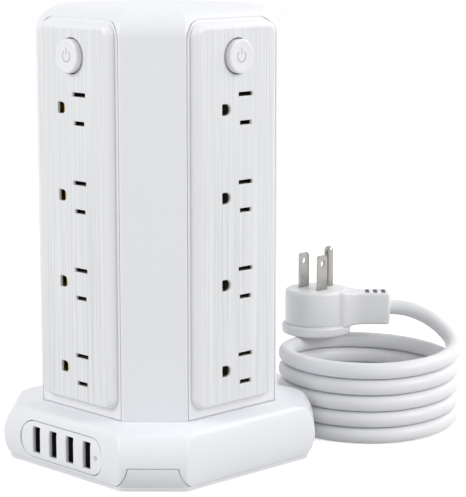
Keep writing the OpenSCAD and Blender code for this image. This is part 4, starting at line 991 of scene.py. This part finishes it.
# a patch's part below the split as a sheet: an opening is a hole in it, and a notch cuts its foot
def openedPatch(at, columns, opening, inset, side):
    loop, across = opening(0.0 if inset else base["lip"]), columns[1:-1]
    upper = mirrored(pointsOf(columns[-1], lowZ), across[::-1])
    if opening is notchOpening:
        foot = pointsOf(across[across > opening(base["lip"])[0, 0] + base["notchClear"]], lowZ[0])
        outer, holes = np.concatenate([upper, foot[::-1] * [-1, 1], loop[::-1], foot]), []
    else:
        outer, holes = np.concatenate([upper, pointsOf(across, lowZ[0])]), [loop]
    extra = gridInside(columns[1:-1], lowZ[1:-1], outer, holes, [loop], base["clear"])
    return sheet(outer, holes, lambda points: at(*points.T, inset, side), extra)


# one loop all round the base at a height
def baseLoop(z, inset=0.0):
    kinds = ((flatAt, flatColumns, 0), (cornerAt, cornerColumns, 0.5))
    return np.concatenate([at(columns, np.array([z]), inset, side + turn)[:-1] for side in range(4)
                           for at, columns, turn in kinds])


# on every side a flat and a corner patch, outside and inside, whole or opened; then what joins
# the two skins: the openings' walls, the foot and the ledge
def baseParts():
    parts = []
    for side in range(4):
        cornerOpening = notchOpening if side in tab["corners"] else reliefOpening
        patches = ((flatAt, flatColumns, None if side else frameOpening, side),
                   (cornerAt, cornerColumns, cornerOpening, side + 0.5))
        for inset, upperZ in ((0.0, highZ), (base["wall"], innerZ)):
            for at, columns, opening, turn in patches:
                parts.append(skin(at(*np.meshgrid(columns, upperZ), inset, turn), closed=False))
            for at, columns, opening, turn in patches:
                parts.append(openedPatch(at, columns, opening, inset, turn) if opening else
                             skin(at(*np.meshgrid(columns, lowZ), inset, turn), closed=False))
    # lips and walls of the openings, from the face inwards to the inner skin
    steps = [*lipRows(base["lip"]), (0.0, base["wall"])]
    wallRows = lambda at, opening, side: np.stack([
        at(*opening(grow).T, depth, side) for grow, depth in steps])
    parts += [skin(wallRows(flatAt, frameOpening, 0)),
              skin(wallRows(cornerAt, reliefOpening, relief["side"]))]
    notchRows = {side: wallRows(cornerAt, notchOpening, side + 0.5) for side in tab["corners"]}
    parts += [skin(rows, closed=False) for rows in notchRows.values()]
    # the underside from the outer foot to the inner foot, with a gap and two ends at each notch
    outer, inner = baseLoop(base["low"]), baseLoop(base["low"], base["wall"])
    ring, quads = skin([outer, inner])
    blocked = np.zeros(len(outer), bool)
    near = np.abs(cornerColumns) < notchOpening(base["lip"])[0, 0] + base["notchClear"]
    for side, rows in notchRows.items():
        start = side * (len(flatColumns) + len(cornerColumns) - 2) + len(flatColumns) - 1
        first, last = start + near.argmax() - 1, start + len(near) - near[::-1].argmax()
        blocked[first:last] = True
        for step, end in ((first, rows[:, -1]), (last % len(outer), rows[:, 0])):
            parts.append(cap([outer[step], *end, inner[step]]))
    parts.append((ring, quads[~blocked]))
    # the ledge under the tower: top face inwards, a wall down, and out to the inner skin
    top, shrink = baseLoop(base["high"]), 1 - base["ledgeIn"] / base["flat"]["foot"]
    parts.append(skin([top, level(top * shrink, base["high"]), level(top * shrink, base["ledgeLow"]),
                       baseLoop(base["ledgeLow"], base["wall"])]))
    return parts


basePiece = makePiece("baseShell", baseParts(), materials["shell"], sharpAngle=base["sharp"])
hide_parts("base_shell")
print("base made")


# The port frame: a plate that follows the base's belly, with a soft outer edge, four mouths with
# bevelled rims and the lamp's hole
def portHoles():
    spots = [((i - (portFrame["ports"] - 1) / 2) * portFrame["pitch"], portFrame["z"])
             for i in range(portFrame["ports"])]
    holes = [(boxHole(spot, portFrame["mouth"], portFrame["mouthRound"], portFrame["mouthSteps"]),
              portFrame["mouthLip"]) for spot in spots]
    pipeSpot = (portFrame["pipeAt"], portFrame["z"])
    pipeHole = roundHole(pipeSpot, portFrame["pipeHole"], portFrame["pipeSteps"])
    return holes + [(pipeHole, portFrame["pipeLip"])]


# a sheet in front and one behind, joined by the outer edge and by the holes' lips and wells
def portFrameParts():
    def at(loop, inset):  # the belly's curve, cut level where it stands out further than the face
        return upright(loop, np.minimum(baseSide(loop[:, 1], "flat"), portFrame["face"]) - inset)

    lip, hold, depth, well = (portFrame[key] for key in ("lip", "hold", "depth", "well"))
    holes = portHoles()
    parts = [skin([at(stadium(0), depth), *lipLoops(stadium, at, lip, hold=hold, way=-1)[::-1]])]
    front = [holeOf(mouthLip + hold) for holeOf, mouthLip in holes]
    back = [holeOf(well) for holeOf, mouthLip in holes]
    for outer, inner, inset in ((stadium(-lip - hold), front, 0.0), (stadium(0.0), back, depth)):
        extra = evenGrid(outer, inner, portFrame["step"], portFrame["clear"])
        parts.append(sheet(outer, inner, lambda loop: at(loop, inset), extra))
    for holeOf, mouthLip in holes:
        rows = lipLoops(holeOf, at, mouthLip, hold=hold)
        rows += [upright(holeOf(grow), portFrame["plate"]) for grow in (0, well)]
        parts.append(skin(rows + [at(holeOf(well), depth)]))
    return parts


# painted shade in each port: a dark lining from behind the plate to the frame's back stands in for the shade
# inside
def portWellParts():
    parts, gap = [], portFrame["wellGap"]
    near, far = portFrame["plate"] - gap, portFrame["wellEnd"]
    for holeOf, _ in portHoles()[:portFrame["ports"]]:
        wide, narrow = holeOf(portFrame["well"] - gap), holeOf(gap)
        parts.append(skin([upright(loop, n) for loop, n in (
            (wide, near), (wide, far), (narrow, far), (narrow, near), (wide, near))]))
    return parts


framePiece = makePiece("portFrame", portFrameParts(), materials["frame"])
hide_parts("port_frame")
# the dark linings that paint the shade inside the ports
makePiece("portPaintedShadeLinings", portWellParts(), materials["well"])

# The bottom cover: a plate whose rim lines up with the base's foot, an inner step, seats for the
# feet and screws, and the three tabs. Feet and screws: their places, radius and seat's top
cover = {
    "low": 0.8, "rimTop": 2.2, "top": 3.2, "rimAt": 1.6, "lip": 0.35, "hold": 0.3, "stepGap": 0.4,
    "stepFoot": 2.4, "stepEdge": 0.6, "feet": ((36.0, 36.0), 6.1, 1.8), "screws": ((50.0, 33.0), 2.9, 1.9),
    "seatLip": 0.2, "seatHold": 0.3, "seatSteps": 40,
}


# the octagon's loop with its edges rounded, grown by an amount
def octagonLoop(flat, corner, edge, grow=0.0):
    flat, corner, edge = (np.array([v + grow]) for v in (flat, corner, edge))
    loops = [cornerLoops(flat, corner, edge, np.zeros(1), side)[0] for side in range(4)]
    return np.concatenate(loops)[:, :2]


# the rim's lip and the step up to the flat top, the seats sunk in the underside, and each tab as
# two sheets on the corner's curve with a lip round the front one
def coverParts():
    rim = [baseSide(cover["rimAt"], kind) for kind in ("flat", "corner")]
    step = [baseSide(cover["stepFoot"], kind, base["wall"]) - cover["stepGap"]
            for kind in ("flat", "corner")]
    fromLow = lambda loop, depth=0.0: level(loop, cover["low"] + depth)
    rimLoop = lambda grow: octagonLoop(*rim, base["edge"], grow)
    stepLoop = octagonLoop(*step, cover["stepEdge"])
    rows = lipLoops(rimLoop, fromLow, cover["lip"], hold=cover["hold"], way=-1)
    rows += [level(loop, z) for loop, z in (
        (rimLoop(0), cover["rimTop"]), (stepLoop, cover["rimTop"]), (stepLoop, cover["top"]))]
    seats = [(roundHole((sx * x, sy * y), radius, cover["seatSteps"]), top)
             for (x, y), radius, top in (cover["feet"], cover["screws"]) for sx in (-1, 1) for sy in (-1, 1)]
    parts = [skin(rows), cap(rows[-1])]
    parts.append(sheet(rimLoop(-cover["lip"] - cover["hold"]),
                       [seatOf(cover["seatLip"] + cover["seatHold"]) for seatOf, top in seats], fromLow))
    for seatOf, top in seats:
        rows = lipLoops(seatOf, fromLow, cover["seatLip"], hold=cover["seatHold"])
        parts += [skin([*rows, level(seatOf(0), top)]), cap(level(seatOf(0), top))]
    # a tab's loop, closed along its foot by more points, and put into its corner at an inset
    def outline(grow):
        path = tabPath(grow, tab["low"] - grow)
        return np.concatenate([path, even(path[-1], path[0], tab["footSteps"])[1:-1]])

    for side in tab["corners"]:
        place = lambda loop, inset: cornerAt(*cornerFrom(loop).T, tab["inset"] + inset, side + 0.5)
        rows = lipLoops(outline, place, tab["lip"], hold=tab["hold"], way=-1)
        parts.append(skin([*rows, place(outline(0), tab["thick"])]))
        for loop, inset in ((outline(-tab["lip"] - tab["hold"]), 0.0), (outline(0), tab["thick"])):
            extra = evenGrid(loop, [], tab["step"], tab["clear"])
            parts.append(sheet(loop, [], lambda points: place(points, inset), extra))
    return parts


coverPiece = makePiece("bottomCover", coverParts(), materials["cover"])
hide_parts("bottom_cover")
print("port frame and bottom cover made")

# The CAD nodes that stay keep their shape and get their finish
numbered = lambda name: [name + str(i) for i in range(1, 5)]
cadFinish = {
    "carrier": ["carrier_" + name for name in sideNames] + ["cord_clamp"],
    "brass": ["ground_bar_" + name for name in sideNames],
    # the live and neutral bars take the brass with painted shade
    "brassPaintedShade": [bar + name for bar in ("neutral_bar_", "live_bar_") for name in sideNames],
    "switch": ["switch_" + name for name in sideNames],
    "foot": numbered("foot_"), "screw": numbered("cover_screw_"), "portShell": numbered("port_shell_"),
    "tongue": ["port_tongues"], "pipe": ["light_pipe"], "board": ["port_board", "surge_board"],
    "disc": ["surge_discs"], "nickel": cadPlugNodes,
}
for finishName, nodeNames in cadFinish.items():
    for nodeName in nodeNames:
        for materialSlot in bpy.data.objects[nodeName].material_slots:
            materialSlot.material = materials[finishName]
print("CAD nodes finished:", sum(len(nodeNames) for nodeNames in cadFinish.values()))

# The floor is a plain pale sheet. Rays from the camera, mirrors and glass see it near white,
# darkened only by the object's shadow; the world does the same without a shadow
stage = {
    "half": 3000, "colour": (0.6, 0.6, 0.6), "glow": 0.7, "worldLight": 0.475, "worldSeen": 1.0,
    "lamps": [
        {"name": "frontSoft", "place": (-352, -1022, 750), "aim": (0, 0, 90), "size": 700, "watts": 8.3},
        {"name": "sideSoft", "place": (1022, 352, 750), "aim": (0, 0, 90), "size": 700, "watts": 7.2},
        {"name": "backSoft", "place": (250, 1100, 800), "aim": (30, 100, 40), "size": 800, "watts": 4.7},
    ],
}


# one shader for the light that is cast and another for what the camera, mirrors and glass see
def seenApart(tree, cast, seen):
    rays = addNode(tree, "LightPath").outputs
    direct = calc(tree, "MAXIMUM", rays["Is Camera Ray"], rays["Is Glossy Ray"])
    return addNode(tree, "MixShader", calc(tree, "MAXIMUM", direct, rays["Is Transmission Ray"]), cast, seen)


floorMaterial = bpy.data.materials.new("paleFloor")
floorMaterial.use_nodes = True
floorTree = floorMaterial.node_tree
floorTree.nodes.remove(floorTree.nodes["Principled BSDF"])
floorShade = addNode(floorTree, "BsdfDiffuse", Color=(*stage["colour"], 1))
floorGlow = addNode(floorTree, "Emission", Color=(1, 1, 1, 1), Strength=stage["glow"])
floorSeen = seenApart(floorTree, floorShade, addNode(floorTree, "AddShader", floorShade, floorGlow))
feed(floorTree, floorTree.nodes["Material Output"], {"Surface": floorSeen})

corners = np.array([(-1, -1, 0), (1, -1, 0), (1, 1, 0), (-1, 1, 0)]) * stage["half"] * mm
floorMesh = bpy.data.meshes.new("floor")
floorMesh.from_pydata(corners.tolist(), [], [(0, 1, 2, 3)])
floorMesh.materials.append(floorMaterial)
floorObject = bpy.data.objects.new("floor", floorMesh)
scene.collection.objects.link(floorObject)

world = bpy.data.worlds.new("studio")
scene.world = world
world.use_nodes = True
worldTree = world.node_tree
worldTree.nodes.clear()
worldCast, worldWhite = (addNode(worldTree, "Background", (1, 1, 1, 1), stage[key])
                         for key in ("worldLight", "worldSeen"))
addNode(worldTree, "OutputWorld", Surface=seenApart(worldTree, worldCast, worldWhite))

for lamp in stage["lamps"]:
    lampData = bpy.data.lights.new(lamp["name"], "AREA")
    lampData.size = lamp["size"] * mm
    lampData.energy = lamp["watts"]
    lampObject = bpy.data.objects.new(lamp["name"], lampData)
    place = Vector(lamp["place"]) * mm
    lampObject.location = place
    lampObject.rotation_euler = (Vector(lamp["aim"]) * mm - place).to_track_quat("-Z", "Y").to_euler()
    scene.collection.objects.link(lampObject)

scene.view_settings.view_transform = "Standard"
print("floor, world and lamps made")
